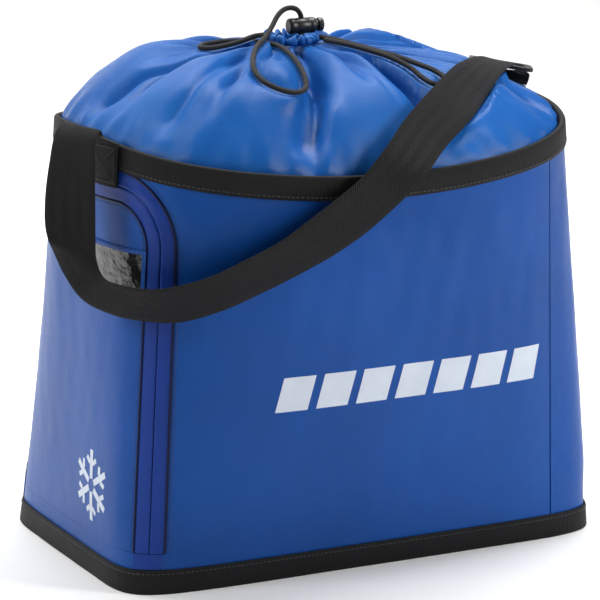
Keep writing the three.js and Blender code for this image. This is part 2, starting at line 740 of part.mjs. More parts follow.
const STRAP_EDGES = [
  [[-196.5, -76, 333.5], [-202, -38, 333.5]],
  [[-199, -78, 338], [-212, -42, 340]],
  [[-204, -81, 332], [-221, -47, 334]],
  [[-206, -83, 308], [-229, -53, 312]],
  [[-207, -85, 285], [-234, -57, 290]],
  [[-208, -87, 262], [-237, -63, 271]],
  [[-208, -88, 247], [-237, -68, 261]],
  [[-207, -92, 239], [-232, -66, 251]],
  [[-206, -99, 235], [-225, -68, 234]],
  [[-203, -115, 234], [-218, -85, 218]],
  [[-195, -134, 234], [-204, -106, 210]],
  [[-186, -142, 234], [-187, -117, 206]],
  [[-174, -149, 236], [-163, -130, 205]],
  [[-152, -157, 242], [-136, -143, 213]],
  [[-126, -163, 253], [-106, -150, 225]],
  [[-99, -166, 265], [-76, -157, 239]],
  [[-80, -166, 276], [-53, -160, 250]],
  [[-58, -167, 290], [-30, -163, 264]],
  [[-36, -167, 305], [-5, -165, 283]],
  [[-15, -162, 323], [15, -167, 301]],
  [[11, -145, 341], [40, -152, 318]],
  [[45, -122, 357], [72, -132, 333]],
  [[80, -92, 367], [112, -92, 347]],
  [[110, -62, 367], [146, -54, 354]],
  [[138, -28, 362], [174, -22, 352]],
  [[153, -2, 357], [188, -12, 349]],
];

addPart("shoulder_strap", webbing(STRAP_EDGES, 60), WEBBING);

// A tab of the same webbing is sewn flat over the binding at each end.
const TAB_INSIDE = BAND_OUTSIDE + GAP;
const TAB_BOTTOM = 295;

function tab(from, to) {
  const top = (w) => rimHeight(w) + 1;
  return layer(turnsBetween(from, to), at(TAB_BOTTOM), top, TAB_INSIDE + WEBBING_THICKNESS, TAB_INSIDE);
}

addPart("strap_tab_left", tab(0.125, 0.258), WEBBING);
addPart("strap_tab_right", tab(1.98, 2.11), WEBBING);

// The lead is a short length of webbing from the far tab up to the adjuster.
const LEAD_EDGES = [
  [[190.5, 31, 332.5], [192.5, -7, 332.5]],
  [[187, 31, 336], [195, -6, 336]],
  [[175, 26, 341], [197, -4, 340]],
  [[166, 21, 344], [197, 1, 341.5]],
];
addPart("adjuster_lead", webbing(LEAD_EDGES, 10), WEBBING);

// The adjuster is a three-bar slide. X is along its bars and Y across them.
function adjusterGeometry() {
  const length = 50;
  const width = 24;
  const radius = 4;
  const shape = new THREE.Shape();
  shape.moveTo(-length / 2 + radius, -width / 2);
  for (const [x, y, from] of [[1, -1, -0.5], [1, 1, 0], [-1, 1, 0.5], [-1, -1, 1]]) {
    const cx = x * (length / 2 - radius);
    const cy = y * (width / 2 - radius);
    shape.absarc(cx, cy, radius, from * Math.PI, (from + 0.5) * Math.PI);
  }
  for (const side of [-1, 1]) {
    const slot = new THREE.Path();
    const near = side * 2.2;
    const far = side * 8;
    slot.moveTo(-20.5, near).lineTo(20.5, near).lineTo(20.5, far).lineTo(-20.5, far).closePath();
    shape.holes.push(slot);
  }
  return new THREE.ExtrudeGeometry(shape, { depth: 3, bevelEnabled: false, curveSegments: 5 });
}

const adjuster = new THREE.Group();
const barDirection = point(0.89, -0.42, -0.17).normalize();
const slideDirection = point(0.42, 0.9, -0.02);
const adjusterUp = new THREE.Vector3().crossVectors(barDirection, slideDirection).normalize();
const acrossBars = new THREE.Vector3().crossVectors(adjusterUp, barDirection);
adjuster.quaternion.setFromRotationMatrix(new THREE.Matrix4().makeBasis(barDirection, acrossBars, adjusterUp));
adjuster.position.set(177, 7, 347);
bag.add(adjuster);
addPart("strap_adjuster", adjusterGeometry(), BLACK_PLASTIC, adjuster);

export default bag;
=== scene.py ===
# %% [markdown]
# # A ski boot bag
# A boot bag is a stiff square tote. Coated polyester is laminated over foam boards, a thin nylon collar is
# gathered shut by a drawcord, and one end opens with a zip. The solids of every piece come from a packed
# frame, and this lesson gives each of them the surface that the hand and the eye expect. Everything is
# worked out in metres, with Z up, the long front towards -Y and the zipped end towards -X.

import math

import bpy
import numpy as np
from mathutils import Matrix, Vector


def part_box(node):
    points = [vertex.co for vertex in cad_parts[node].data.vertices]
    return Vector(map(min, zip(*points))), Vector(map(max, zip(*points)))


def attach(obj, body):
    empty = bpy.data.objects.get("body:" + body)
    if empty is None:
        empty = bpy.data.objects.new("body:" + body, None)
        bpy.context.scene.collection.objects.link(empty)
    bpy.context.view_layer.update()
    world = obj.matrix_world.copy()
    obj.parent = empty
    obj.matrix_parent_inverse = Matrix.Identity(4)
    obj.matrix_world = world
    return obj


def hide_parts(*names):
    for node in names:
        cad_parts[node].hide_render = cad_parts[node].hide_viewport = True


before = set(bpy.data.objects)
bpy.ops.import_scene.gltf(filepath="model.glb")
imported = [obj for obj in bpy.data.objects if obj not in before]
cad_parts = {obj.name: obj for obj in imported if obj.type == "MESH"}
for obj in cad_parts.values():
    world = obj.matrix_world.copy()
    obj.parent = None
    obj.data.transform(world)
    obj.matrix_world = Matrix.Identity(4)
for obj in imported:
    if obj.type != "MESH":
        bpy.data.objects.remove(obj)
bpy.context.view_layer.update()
MM = 0.001

# %% [markdown]
# ## The camera
# A product picture is taken from a long way off with a long lens, so that upright edges stay nearly
# parallel. The camera looks at the bag from its front left, a little above the rim.

# %% Place the camera
camera = bpy.data.objects.new("camera", bpy.data.cameras.new("camera"))
bpy.context.scene.collection.objects.link(camera)
camera.data.lens = 194.2
camera.data.clip_end = 30
camera.location = (-1.0786, -2.1810, 0.7421)
towards = Vector((-0.00188, 0.0004, 0.17777)) - camera.location
camera.rotation_euler = towards.to_track_quat("-Z", "Y").to_euler()
bpy.context.scene.camera = camera
print("camera distance", round(towards.length, 3))

# %% [markdown]
# ## Meshes from grids
# Cloth is a grid of threads, so nearly every piece here is a grid of points with a thickness. One helper
# joins an outer and an inner grid into a closed shell, and stores the cloth's own measure in metres as its
# UV map, so that a weave keeps its real size however the cloth bends.


# %% Make a closed shell from two grids
def new_piece(name, points, faces, uv=None, sharp=40):
    """A smooth-shaded mesh object in the row frame."""
    mesh = bpy.data.meshes.new(name)
    mesh.from_pydata([tuple(p) for p in points], [], [tuple(f) for f in faces])
    mesh.polygons.foreach_set("use_smooth", [True] * len(mesh.polygons))
    if uv is not None:
        layer = mesh.uv_layers.new(name="cloth")
        corners = np.zeros(len(mesh.loops), int)
        mesh.loops.foreach_get("vertex_index", corners)
        layer.data.foreach_set("uv", np.asarray(uv, float)[corners].ravel())
    mesh.set_sharp_from_angle(angle=math.radians(sharp))
    piece = bpy.data.objects.new(name, mesh)
    bpy.context.scene.collection.objects.link(piece)
    return piece


def grid_shell(name, outer, inner, uv, ring=False, sharp=40):
    """A closed sheet between two grids. Seen from outside, rows run to the right and columns run up."""
    rows, columns = outer.shape[:2]
    index = np.arange(rows * columns).reshape(rows, columns)
    if ring:
        index = np.vstack([index, index[:1]])
    back = index + rows * columns
    a, b, c, d = index[:-1, :-1], index[1:, :-1], index[1:, 1:], index[:-1, 1:]
    faces = [np.stack([a, b, c, d], -1).reshape(-1, 4)]
    a, b, c, d = back[:-1, :-1], back[:-1, 1:], back[1:, 1:], back[1:, :-1]
    faces.append(np.stack([a, b, c, d], -1).reshape(-1, 4))
    faces.append(np.stack([index[:-1, 0], back[:-1, 0], back[1:, 0], index[1:, 0]], -1))
    faces.append(np.stack([index[:-1, -1], index[1:, -1], back[1:, -1], back[:-1, -1]], -1))
    if not ring:
        faces.append(np.stack([index[0, :-1], index[0, 1:], back[0, 1:], back[0, :-1]], -1))
        faces.append(np.stack([index[-1, :-1], back[-1, :-1], back[-1, 1:], index[-1, 1:]], -1))
    points = np.concatenate([outer.reshape(-1, 3), inner.reshape(-1, 3)])
    both = np.concatenate([uv.reshape(-1, 2)] * 2)
    return new_piece(name, points, np.concatenate(faces), both, sharp)


# %% [markdown]
# ## A few words for materials
# Colours are written as the sRGB hex values that a paint or fabric card gives, and one function turns them
# into the linear values that a shader works in. One small function adds a node with its settings and links.


# %% Colours and nodes
def linear(code):
    """An sRGB hex colour as linear RGBA."""
    values = [int(code[i : i + 2], 16) / 255 for i in (1, 3, 5)]
    return [v / 12.92 if v <= 0.04045 else ((v + 0.055) / 1.055) ** 2.4 for v in values] + [1.0]


def add_node(tree, kind, inputs, **settings):
    """A node with its settings; each input is a value or another node's output."""
    node = tree.nodes.new(kind)
    for name, value in settings.items():
        setattr(node, name, value)
    for key, value in inputs.items():
        if isinstance(value, bpy.types.NodeSocket):
            tree.links.new(value, node.inputs[key])
        else:
            node.inputs[key].default_value = value
    return node


def new_material(name, **constants):
    """A material with a Principled BSDF, and its tree and shader."""
    material = bpy.data.materials.new(name)
    material.use_nodes = True
    tree = material.node_tree
    shader = tree.nodes["Principled BSDF"]
    for key, value in constants.items():
        shader.inputs[key.replace("_", " ")].default_value = value
    return material, tree, shader


def ramp_between(tree, factor, dark, light):
    """A colour between two hex values."""
    return add_node(
        tree, "ShaderNodeMix", {0: factor, 6: linear(dark), 7: linear(light)}, data_type="RGBA"
    ).outputs[2]


def math_node(tree, operation, a, b=0.0):
    return add_node(tree, "ShaderNodeMath", {0: a, 1: b}, operation=operation).outputs[0]


def bump(tree, shader, height, distance, strength=1.0):
    """Drives the shader's normal with a height whose full range stands for a distance in metres."""
    node = add_node(tree, "ShaderNodeBump", {"Height": height, "Distance": distance, "Strength": strength})
    tree.links.new(node.outputs[0], shader.inputs["Normal"])


# %% [markdown]
# ## Coated cloth
# The walls are tarpaulin: a polyester weave under a smooth polyurethane coat. The coat gives it a soft, wide
# highlight, and the threads still show through as a faint grain. The collar is a much thinner coated nylon,
# lighter in colour and a little glossier. Both are the same network with other numbers.


# %% Tarpaulin and collar nylon
def coated_cloth(name, dark, light, roughness, thread, relief):
    material, tree, shader = new_material(name, Specular_IOR_Level=0.2, IOR=1.5)
    uv = add_node(tree, "ShaderNodeTexCoord", {}).outputs["UV"]
    place = add_node(tree, "ShaderNodeTexCoord", {}).outputs["Object"]
    cloud = add_node(tree, "ShaderNodeTexNoise", {"Vector": place, "Scale": 9.0, "Detail": 4.0}).outputs[0]
    fine = add_node(tree, "ShaderNodeTexNoise", {"Vector": place, "Scale": 700.0, "Detail": 2.0}).outputs[0]
    tone = math_node(tree, "ADD", math_node(tree, "MULTIPLY", cloud, 0.8), math_node(tree, "MULTIPLY", fine, 0.25))
    tree.links.new(ramp_between(tree, tone, dark, light), shader.inputs["Base Color"])
    rough = math_node(tree, "MULTIPLY_ADD", cloud, 0.16)
    rough.node.inputs[2].default_value = roughness - 0.08
    tree.links.new(rough, shader.inputs["Roughness"])
    split = add_node(tree, "ShaderNodeSeparateXYZ", {0: uv})
    waves = [
        math_node(tree, "SINE", math_node(tree, "MULTIPLY", split.outputs[k], 2 * math.pi / thread)) for k in (0, 1)
    ]
    weave = math_node(tree, "MULTIPLY", *waves)
    crease = add_node(tree, "ShaderNodeTexNoise", {"Vector": place, "Scale": 55.0, "Detail": 5.0}).outputs[0]
    height = math_node(tree, "ADD", math_node(tree, "MULTIPLY", weave, 0.12), math_node(tree, "MULTIPLY", crease, 1.4))
    bump(tree, shader, height, relief)
    return material


# A real thread is about 0.4 mm. It is drawn at 1.1 mm so that it shows.
TARPAULIN = coated_cloth("polyurethane_coated_polyester", "#003374", "#0850a4", 0.34, 1.1 * MM, 0.45 * MM)
COLLAR_NYLON = coated_cloth("thin_coated_nylon", "#0b4088", "#2268b4", 0.28, 0.8 * MM, 0.3 * MM)
print("coated cloths", TARPAULIN.name, COLLAR_NYLON.name)

# %% [markdown]
# ## Woven tapes
# Webbing, grosgrain and zip tape are all narrow weaves. What the eye reads is the direction and the width of
# the ribs: a herringbone along webbing, straight ribs across grosgrain, and a close twill on zip tape.


# %% Webbing, grosgrain and zip tape
def woven_tape(name, dark, light, roughness, rib, slant, relief, coordinates="UV", shine=0.18):
    """rib is the distance between ribs along the tape; slant turns them into chevrons across it."""
    material, tree, shader = new_material(name, Specular_IOR_Level=shine, Sheen_Weight=0.04, Sheen_Roughness=0.4)
    uv = add_node(tree, "ShaderNodeTexCoord", {}).outputs[coordinates]
    place = add_node(tree, "ShaderNodeTexCoord", {}).outputs["Object"]
    split = add_node(tree, "ShaderNodeSeparateXYZ", {0: uv})
    zigzag = math_node(tree, "PINGPONG", split.outputs[1], 5 * MM)
    along = math_node(tree, "ADD", split.outputs[0], math_node(tree, "MULTIPLY", zigzag, slant))
    ribs = math_node(tree, "SINE", math_node(tree, "MULTIPLY", along, 2 * math.pi / rib))
    ribs = math_node(tree, "MULTIPLY_ADD", ribs, 0.5)
    ribs.node.inputs[2].default_value = 0.5
    fuzz = add_node(tree, "ShaderNodeTexNoise", {"Vector": place, "Scale": 900.0, "Detail": 3.0}).outputs[0]
    cloud = add_node(tree, "ShaderNodeTexNoise", {"Vector": place, "Scale": 22.0, "Detail": 3.0}).outputs[0]
    tone = math_node(tree, "MULTIPLY", math_node(tree, "ADD", ribs, cloud), math_node(tree, "ADD", fuzz, 0.2))
    tree.links.new(ramp_between(tree, tone, dark, light), shader.inputs["Base Color"])
    shader.inputs["Roughness"].default_value = roughness
    height = math_node(tree, "ADD", ribs, math_node(tree, "MULTIPLY", fuzz, 0.5))
    bump(tree, shader, height, relief)
    return material


WEBBING = woven_tape("polyester_webbing", "#070708", "#1a1a1c", 0.7, 2.2 * MM, 1.0, 0.28 * MM)
GROSGRAIN = woven_tape("ribbed_grosgrain", "#08080a", "#18181a", 0.62, 1.3 * MM, 0.0, 0.16 * MM)
ZIP_TAPE = woven_tape("woven_zip_tape", "#062262", "#0f3a92", 0.4, 1.2 * MM, 1.0, 0.08 * MM, shine=0.22)
PIPING = woven_tape("dark_blue_piping", "#030926", "#08123d", 0.45, 1.2 * MM, 1.0, 0.06 * MM)
LINING = woven_tape("plain_woven_lining", "#1d1f21", "#3a3c3f", 0.7, 1.6 * MM, 0.0, 0.1 * MM, coordinates="Object")
print("tapes", [m.name for m in (WEBBING, GROSGRAIN, ZIP_TAPE, PIPING, LINING)])

# %% [markdown]
# ## Hard and small materials
# Acetal, rubber, plated metal, foam and card are all moulded or rolled, so they share a fine grain without a
# direction. What tells them apart is how rough they are, how metallic, and how large the grain is.


# %% Moulded, plated and foamed materials
def grained(name, dark, light, roughness, grain, relief, **constants):
    material, tree, shader = new_material(name, **constants)
    place = add_node(tree, "ShaderNodeTexCoord", {}).outputs["Object"]
    noise = add_node(tree, "ShaderNodeTexNoise", {"Vector": place, "Scale": 1 / grain, "Detail": 3.0}).outputs[0]
    cloud = add_node(tree, "ShaderNodeTexNoise", {"Vector": place, "Scale": 60.0, "Detail": 3.0}).outputs[0]
    tree.links.new(ramp_between(tree, cloud, dark, light), shader.inputs["Base Color"])
    rough = math_node(tree, "MULTIPLY_ADD", noise, 0.12)
    rough.node.inputs[2].default_value = roughness - 0.06
    tree.links.new(rough, shader.inputs["Roughness"])
    bump(tree, shader, noise, relief)
    return material


ACETAL = grained("moulded_black_acetal", "#111112", "#232324", 0.38, 0.6 * MM, 0.05 * MM, IOR=1.48)
STEEL = grained("drawn_steel_wire", "#84888f", "#a3a7ad", 0.3, 0.5 * MM, 0.02 * MM, Metallic=1.0)
GUNMETAL = grained("plated_zinc_casting", "#2d2f33", "#4b4e53", 0.36, 0.5 * MM, 0.03 * MM, Metallic=1.0)
PULL_RUBBER = grained("moulded_blue_rubber", "#062c6a", "#0f4488", 0.5, 0.5 * MM, 0.06 * MM, IOR=1.52)
FOAM = grained("closed_cell_foam", "#5d5f62", "#77797c", 0.85, 1.5 * MM, 0.2 * MM)
BOARD = grained("rolled_plastic_board", "#1c1d1f", "#2b2c2f", 0.5, 0.8 * MM, 0.05 * MM)
BASE_CLOTH = grained("coated_black_base_cloth", "#0c0c0d", "#1b1b1d", 0.6, 0.9 * MM, 0.1 * MM)
CARD = grained("matt_card", "#2f302f", "#454644", 0.7, 0.7 * MM, 0.03 * MM)
SMOKED_FILM = grained("smoked_vinyl_film", "#0c0d0d", "#1d1e1e", 0.14, 7 * MM, 1.2 * MM, IOR=1.53, Coat_Weight=0.4)
PRINT = grained("screen_print_ink", "#b9c2d0", "#cdd5e0", 0.45, 0.7 * MM, 0.03 * MM)
THREAD = grained("polyester_thread", "#0c2f70", "#1c4a8e", 0.5, 0.3 * MM, 0.05 * MM, Sheen_Weight=0.3)
BLACK_THREAD = grained("black_polyester_thread", "#0e0e0f", "#252527", 0.5, 0.3 * MM, 0.05 * MM, Sheen_Weight=0.3)
ZIP_NYLON = grained("moulded_nylon_teeth", "#12246f", "#1d3488", 0.35, 0.5 * MM, 0.03 * MM)
print("grained materials", len(bpy.data.materials))

# %% [markdown]
# ## The drawcord
# A drawcord is braided from sixteen small bundles of yarn. It is limp, so it never turns tighter than twice
# its own width, and it lies on whatever is under it. Each cord is swept along a smooth curve through a few
# given points, which are the same points that its solid follows. The braid is in the material: two
# families of diagonal ridges that cross each other on the cord's own UV map.


# %% Smooth curves through a few points
def through(points, steps):
    """A centripetal Catmull-Rom curve through the points, sampled at steps + 1 even parameters."""
    p = np.asarray(points, float)
    p = np.vstack([2 * p[0] - p[1], p, 2 * p[-1] - p[-2]])
    spans = len(points) - 1
    at = np.linspace(0, spans, steps + 1)
    k = np.minimum(at.astype(int), spans - 1)
    t = (at - k)[:, None]
    p0, p1, p2, p3 = p[k], p[k + 1], p[k + 2], p[k + 3]
    gap = [np.sqrt(np.linalg.norm(b - a, axis=1))[:, None] for a, b in ((p0, p1), (p1, p2), (p2, p3))]
    leave = ((p1 - p0) / gap[0] - (p2 - p0) / (gap[0] + gap[1]) + (p2 - p1) / gap[1]) * gap[1]
    arrive = ((p2 - p1) / gap[1] - (p3 - p1) / (gap[1] + gap[2]) + (p3 - p2) / gap[2]) * gap[1]
    cubic = 2 * p1 - 2 * p2 + leave + arrive
    square = -3 * p1 + 3 * p2 - 2 * leave - arrive
    return ((cubic * t + square) * t + leave) * t + p1


def tube(name, line, radius, sides=12, closed_ends=True):
    """A round tube along a line of points, with UV in metres: round it, and along it."""
    line = np.asarray(line, float)
    ahead = np.gradient(line, axis=0)
    ahead /= np.linalg.norm(ahead, axis=1)[:, None]
    side = np.cross(ahead[0], [0.31, 0.17, 0.93])
    sides_at = []
    for direction in ahead:
        side = side - direction * (side @ direction)
        side /= np.linalg.norm(side)
        sides_at.append(side)
    across = np.array(sides_at)
    up = np.cross(ahead, across)
    angle = np.linspace(0, 2 * math.pi, sides + 1)[:-1]
    ring = across[:, None] * np.cos(angle)[None, :, None] + up[:, None] * np.sin(angle)[None, :, None]
    points = (line[:, None] + ring * radius).reshape(-1, 3)
    along = np.concatenate([[0], np.cumsum(np.linalg.norm(np.diff(line, axis=0), axis=1))])
    uv = np.stack(np.broadcast_arrays((angle * radius)[None, :], along[:, None]), -1).reshape(-1, 2)
    i, j = np.meshgrid(np.arange(len(line) - 1), np.arange(sides), indexing="ij")
    n = (j + 1) % sides
    faces = np.stack([i * sides + j, i * sides + n, (i + 1) * sides + n, (i + 1) * sides + j], -1)
    faces = [list(f) for f in faces.reshape(-1, 4)]
    if closed_ends:
        faces.append(list(range(sides))[::-1])
        faces.append([(len(line) - 1) * sides + k for k in range(sides)])
    return new_piece(name, points, faces, uv)


# %% The braid
def braid(name, dark, light, radius):
    material, tree, shader = new_material(name, Roughness=0.62, Specular_IOR_Level=0.3, Sheen_Weight=0.1)
    split = add_node(tree, "ShaderNodeSeparateXYZ", {0: add_node(tree, "ShaderNodeTexCoord", {}).outputs["UV"]})
    around = math_node(tree, "MULTIPLY", split.outputs[0], 4 / radius)
    along = math_node(tree, "MULTIPLY", split.outputs[1], 2 * math.pi / (1.9 * MM))
    left = math_node(tree, "SINE", math_node(tree, "ADD", along, around))
    right = math_node(tree, "SINE", math_node(tree, "SUBTRACT", along, around))
    weave = math_node(tree, "MAXIMUM", left, right)
    tree.links.new(ramp_between(tree, weave, dark, light), shader.inputs["Base Color"])
    bump(tree, shader, weave, 0.35 * MM)
    return material


CORD_RADIUS = 2 * MM
BRAIDED_CORD = braid("braided_polyester_cord", "#080808", "#1e1d1d", CORD_RADIUS)

# %% Lay the two cords
LOOP_ROUTE = [
    (-1, 0, 381.5), (-1, 0, 386), (-1, 0, 391), (-1, 0, 396), (-2.3, 0, 400.5), (-5.5, 0, 403.8),
    (-10, 0, 405), (-16, -1, 404.2), (-22, -3, 400.5), (-29, -8, 394), (-39, -18, 388), (-57, -38, 383),
    (-72, -64, 378), (-79, -82, 373.5), (-79, -96, 368), (-71, -107, 363), (-60, -111, 360.5),
    (-50, -106, 362), (-44, -92, 368.5), (-39, -70, 375.5), (-35, -48, 379), (-33, -28, 381),
    (-36, -10, 381.5), (-44, 4, 381.5), (-57, 10, 381.5), (-70, 10, 381), (-80, 7, 380.5), (-85, 0, 380),
    (-81, -7.5, 380), (-71, -10.5, 381.5), (-57, -9, 383.5), (-43, -5, 386.2), (-31, 0, 386),
]  # fmt: skip
RUN_ROUTE = [
    (12, -4, 382), (18, -14, 381.5), (24, -30, 380), (34, -47, 377), (47, -62, 373), (59, -76, 368),
    (67, -87, 364), (70, -97, 359.5), (65, -105, 356.5), (56.5, -104.5, 357.5), (51, -96.5, 361.5),
    (48, -85, 367), (40, -70, 373), (27, -54, 378), (16, -36, 381), (9, -20, 382),
]  # fmt: skip

cord_lines = {}
for node, route, steps in (("drawcord_loop", LOOP_ROUTE, 300), ("drawcord_run", RUN_ROUTE, 170)):
    line = through(np.array(route) * MM, steps)
    cord_lines[node] = line
    piece = tube(node + "_braided", line, CORD_RADIUS)
    piece.data.materials.append(BRAIDED_CORD)
    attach(piece, "bag")
    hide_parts(node)

# %% [markdown]
# ## The shape of the wall
# The base is a rectangle with small corners. The rim is rounder and deeper, because the front bellies out
# towards the collar. Any point on the wall is found from a turn w and a height z: turn 0 is the middle of
# the zipped end, 1 the middle of the front, 2 the far end and 3 the back. A third number says how far the
# point stands outside the wall, so every tape, seam and print can follow the same surface.

# %% The wall as a function
base_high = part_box("base_sheet")[1]
rim_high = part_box("rim_binding")[1]
GAP = 0.3 * MM
BASE_HALF = (base_high[0] + GAP, base_high[1] + GAP)
RIM_HALF = (189 * MM, 158 * MM, 105 * MM)  # along, front, back
RIM_HEIGHT = rim_high[2]


def quarter_of(half_length, half_depth, exponent):
    """A quarter of a superellipse as a function of the share of its length."""
    angle = np.linspace(0, math.pi / 2, 1201)
    c, s = np.abs(np.cos(angle)), np.sin(angle)
    reach = ((c / half_length) ** exponent + (s / half_depth) ** exponent) ** (-1 / exponent)
    x, y = reach * c, reach * s
    along = np.concatenate([[0], np.cumsum(np.hypot(np.diff(x), np.diff(y)))])
    share = along / along[-1]
    return lambda u: (np.interp(u, share, x), np.interp(u, share, y))


base_quarter = quarter_of(*BASE_HALF, 8.8)
rim_quarters = quarter_of(RIM_HALF[0], RIM_HALF[1], 2.9), quarter_of(RIM_HALF[0], RIM_HALF[2], 2.9)


def outline(w, front, back):
    turn = np.mod(w, 4)
    turn = np.where(turn >= 4, 0, turn)
    quarter = np.floor(turn).astype(int)
    share = turn - quarter
    share = np.where(quarter % 2 == 0, share, 1 - share)
    (fx, fy), (bx, by) = front(share), back(share)
    x = np.where(quarter < 2, fx, bx)
    y = np.where(quarter < 2, -fy, by)
    return np.where((quarter == 0) | (quarter == 3), -x, x), y


def wall(w, z, out=0.0):
    """Points on the wall at turn w and height z, standing `out` metres outside it."""
    w, z, out = np.broadcast_arrays(np.asarray(w, float), np.asarray(z, float), np.asarray(out, float))

    def bare(turn):
        bx, by = outline(turn, base_quarter, base_quarter)
        rx, ry = outline(turn, *rim_quarters)
        t = z / RIM_HEIGHT
        return np.stack([bx + (rx - bx) * t, by + (ry - by) * t, z], -1)

    along = bare(w + 0.004) - bare(w - 0.004)
    along /= np.linalg.norm(along, axis=-1, keepdims=True)
    outward = np.stack([along[..., 1], -along[..., 0], np.zeros_like(z)], -1)
    return bare(w) + outward * out[..., None]


def rim_height(w):
    x, y = outline(w, *rim_quarters)
    depth = np.where(y < 0, RIM_HALF[1], RIM_HALF[2])
    dip = np.where(y < 0, 27 * MM, 10 * MM)
    return RIM_HEIGHT - dip * np.sin(np.arctan2(y / depth, x / RIM_HALF[0])) ** 2


print("rim height at the front", round(float(rim_height(1.0)), 4))

# %% [markdown]
# ## Walls that have been handled
# Laminated walls are flat, but never perfectly so: they ripple near the rim where the collar pulls on them,
# and they bow a little between the foam and the seams. A few waves in random directions give that. The
# ripples fade out at every edge, where the panel is sewn down.


# %% Ripples that fade out at the seams
def waves(points, length, seed, count=9):
    """Smooth seeded noise of about unit height, with a wavelength in metres."""
    rng = np.random.default_rng(seed)
    total = np.zeros(points.shape[:-1])
    for _ in range(count):
        direction = rng.normal(size=3)
        direction *= rng.uniform(0.7, 1.4) / np.linalg.norm(direction)
        total += np.sin(points @ direction * (2 * math.pi / length) + rng.uniform(0, 2 * math.pi))
    return total / math.sqrt(count)


def rise(value, start, end):
    t = np.clip((value - start) / (end - start), 0, 1)
    return t * t * (3 - 2 * t)


BAND_TOP = 18.5 * MM
ZIP_CENTRE = 0.397
M_PER_QUARTER = 0.3
ARCH_TOP, ARCH_RADIUS = 296 * MM, 43 * MM
arch_foot = ARCH_TOP - ARCH_RADIUS
corner_turn = ZIP_CENTRE - ARCH_RADIUS / M_PER_QUARTER


def from_zip(w, z):
    """How far a point of the wall is from the zip's centre line: positive outside the door."""
    turn = np.abs(np.mod(w + 2, 4) - 2)
    beside = np.maximum(turn - corner_turn, 0) * M_PER_QUARTER
    over = np.maximum(z - arch_foot, 0)
    return np.where(over > 0, np.hypot(beside, over), beside) - ARCH_RADIUS


def ripple(w, z):
    """How far the cloth stands outside the wall's own surface."""
    flat = wall(w, z)
    edge = rise(z, BAND_TOP, 60 * MM) * rise(rim_height(w) - z, 19 * MM, 45 * MM)
    edge = edge * rise(np.abs(from_zip(w, z)), 11 * MM, 32 * MM)
    corner = np.abs(np.mod(w, 1) - 0.5)
    edge = edge * np.where((w > 1) & (w < 3), rise(corner, 0.0, 0.12), 1)
    high = rise(z, 0.12, 0.30)
    broad = 0.9 * waves(flat * [1, 1, 0.6], 0.19, 4) + 0.5 * high * waves(flat * [1.6, 1.6, 0.5], 0.075, 8)
    fine = (0.12 + 0.2 * high) * waves(flat * [1.5, 1.5, 0.8], 0.031, 15)
    on_door = from_zip(w, z) < 0
    return np.where(on_door, 1.0 + 0.65 * (broad + fine), 1.2 + 1.05 * (broad + fine)) * edge * MM


# %% A panel from its turns and heights
def panel_grid(w_from, w_to, low, high, out=0.0, step=3 * MM, rippled=True):
    """A grid on the wall. low and high are functions of w, or numbers; out adds to the ripples."""
    columns = np.linspace(w_from, w_to, max(3, int((w_to - w_from) * M_PER_QUARTER / step)))
    low = low(columns) if callable(low) else np.full_like(columns, low)
    high = high(columns) if callable(high) else np.full_like(columns, high)
    share = np.linspace(0, 1, max(3, int(float((high - low).max()) / step)))
    z = low[:, None] + (high - low)[:, None] * share
    w = np.broadcast_to(columns[:, None], z.shape)
    stand = out + (ripple(w, z) if rippled else 0.0)
    uv = np.stack([w * M_PER_QUARTER, z], -1)
    return w, z, stand, uv


def wall_piece(name, w_from, w_to, low, high, out=0.0, thickness=1.5 * MM, material=None, **options):
    w, z, stand, uv = panel_grid(w_from, w_to, low, high, out, **options)
    piece = grid_shell(name, wall(w, z, stand), wall(w, z, stand - thickness), uv)
    piece.data.materials.append(material)
    return piece


def finish(piece, body, slot, *nodes):
    """Attaches the piece to the body it rides on and hides the solids it stands for; slot is not used."""
    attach(piece, body)
    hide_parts(*nodes)
    return piece


def flat_cut(w_from, w_to, low, high):
    """The width, length and area of a panel's flat cut, from the smooth wall that it is cut to cover."""
    w, z, _, _ = panel_grid(w_from, w_to, low, high, step=1.5 * MM, rippled=False)
    place = wall(w, z, 0.0 * z)
    lowest, highest = float(z.min()), float(z.max())
    columns = np.linspace(w_from, w_to, 400)
    widths = [
        np.linalg.norm(np.diff(wall(columns, np.full_like(columns, h), 0.0 * columns), axis=0), axis=1).sum()
        for h in (lowest, highest)
    ]
    middle = np.full(2, (w_from + w_to) / 2)
    ends = wall(middle, np.array([lowest, highest]), np.zeros(2))
    a, b, c, d = place[:-1, :-1], place[1:, :-1], place[1:, 1:], place[:-1, 1:]
    area = 0.5 * np.linalg.norm(np.cross(c - a, d - b), axis=-1).sum()
    return float(max(widths)), float(np.linalg.norm(ends[1] - ends[0])), float(area)


def cloth(piece, cut):
    """Returns the piece as it is; cut, which is worked out before the piece and not from it, is not used."""
    return piece


# %% Sew the walls
shell_edge = ZIP_CENTRE + 10 * MM / M_PER_QUARTER
SEAM = 0.002


def under_binding(w):
    return rim_height(w) - 2 * MM


for name, start, end in (
    ("front_panel", shell_edge, 1.5 - SEAM),
    ("far_end_panel", 1.5 + SEAM, 2.5 - SEAM),
    ("back_panel", 2.5 + SEAM, 4 - shell_edge),
):
    piece = wall_piece(name + "_cloth", start, end, 2.8 * MM, under_binding, material=TARPAULIN)
    cut = flat_cut(start, end, 2.8 * MM, under_binding)
    cloth(finish(piece, "bag", "tarpaulin", name), cut)


def arch_line(distance):
    """The height of a line that follows the arch, as a function of w."""
    radius = ARCH_RADIUS + distance

    def height(w):
        beyond = np.maximum(0, np.abs(w) - corner_turn) * M_PER_QUARTER
        return arch_foot + np.sqrt(np.maximum(0, radius**2 - beyond**2))

    return height


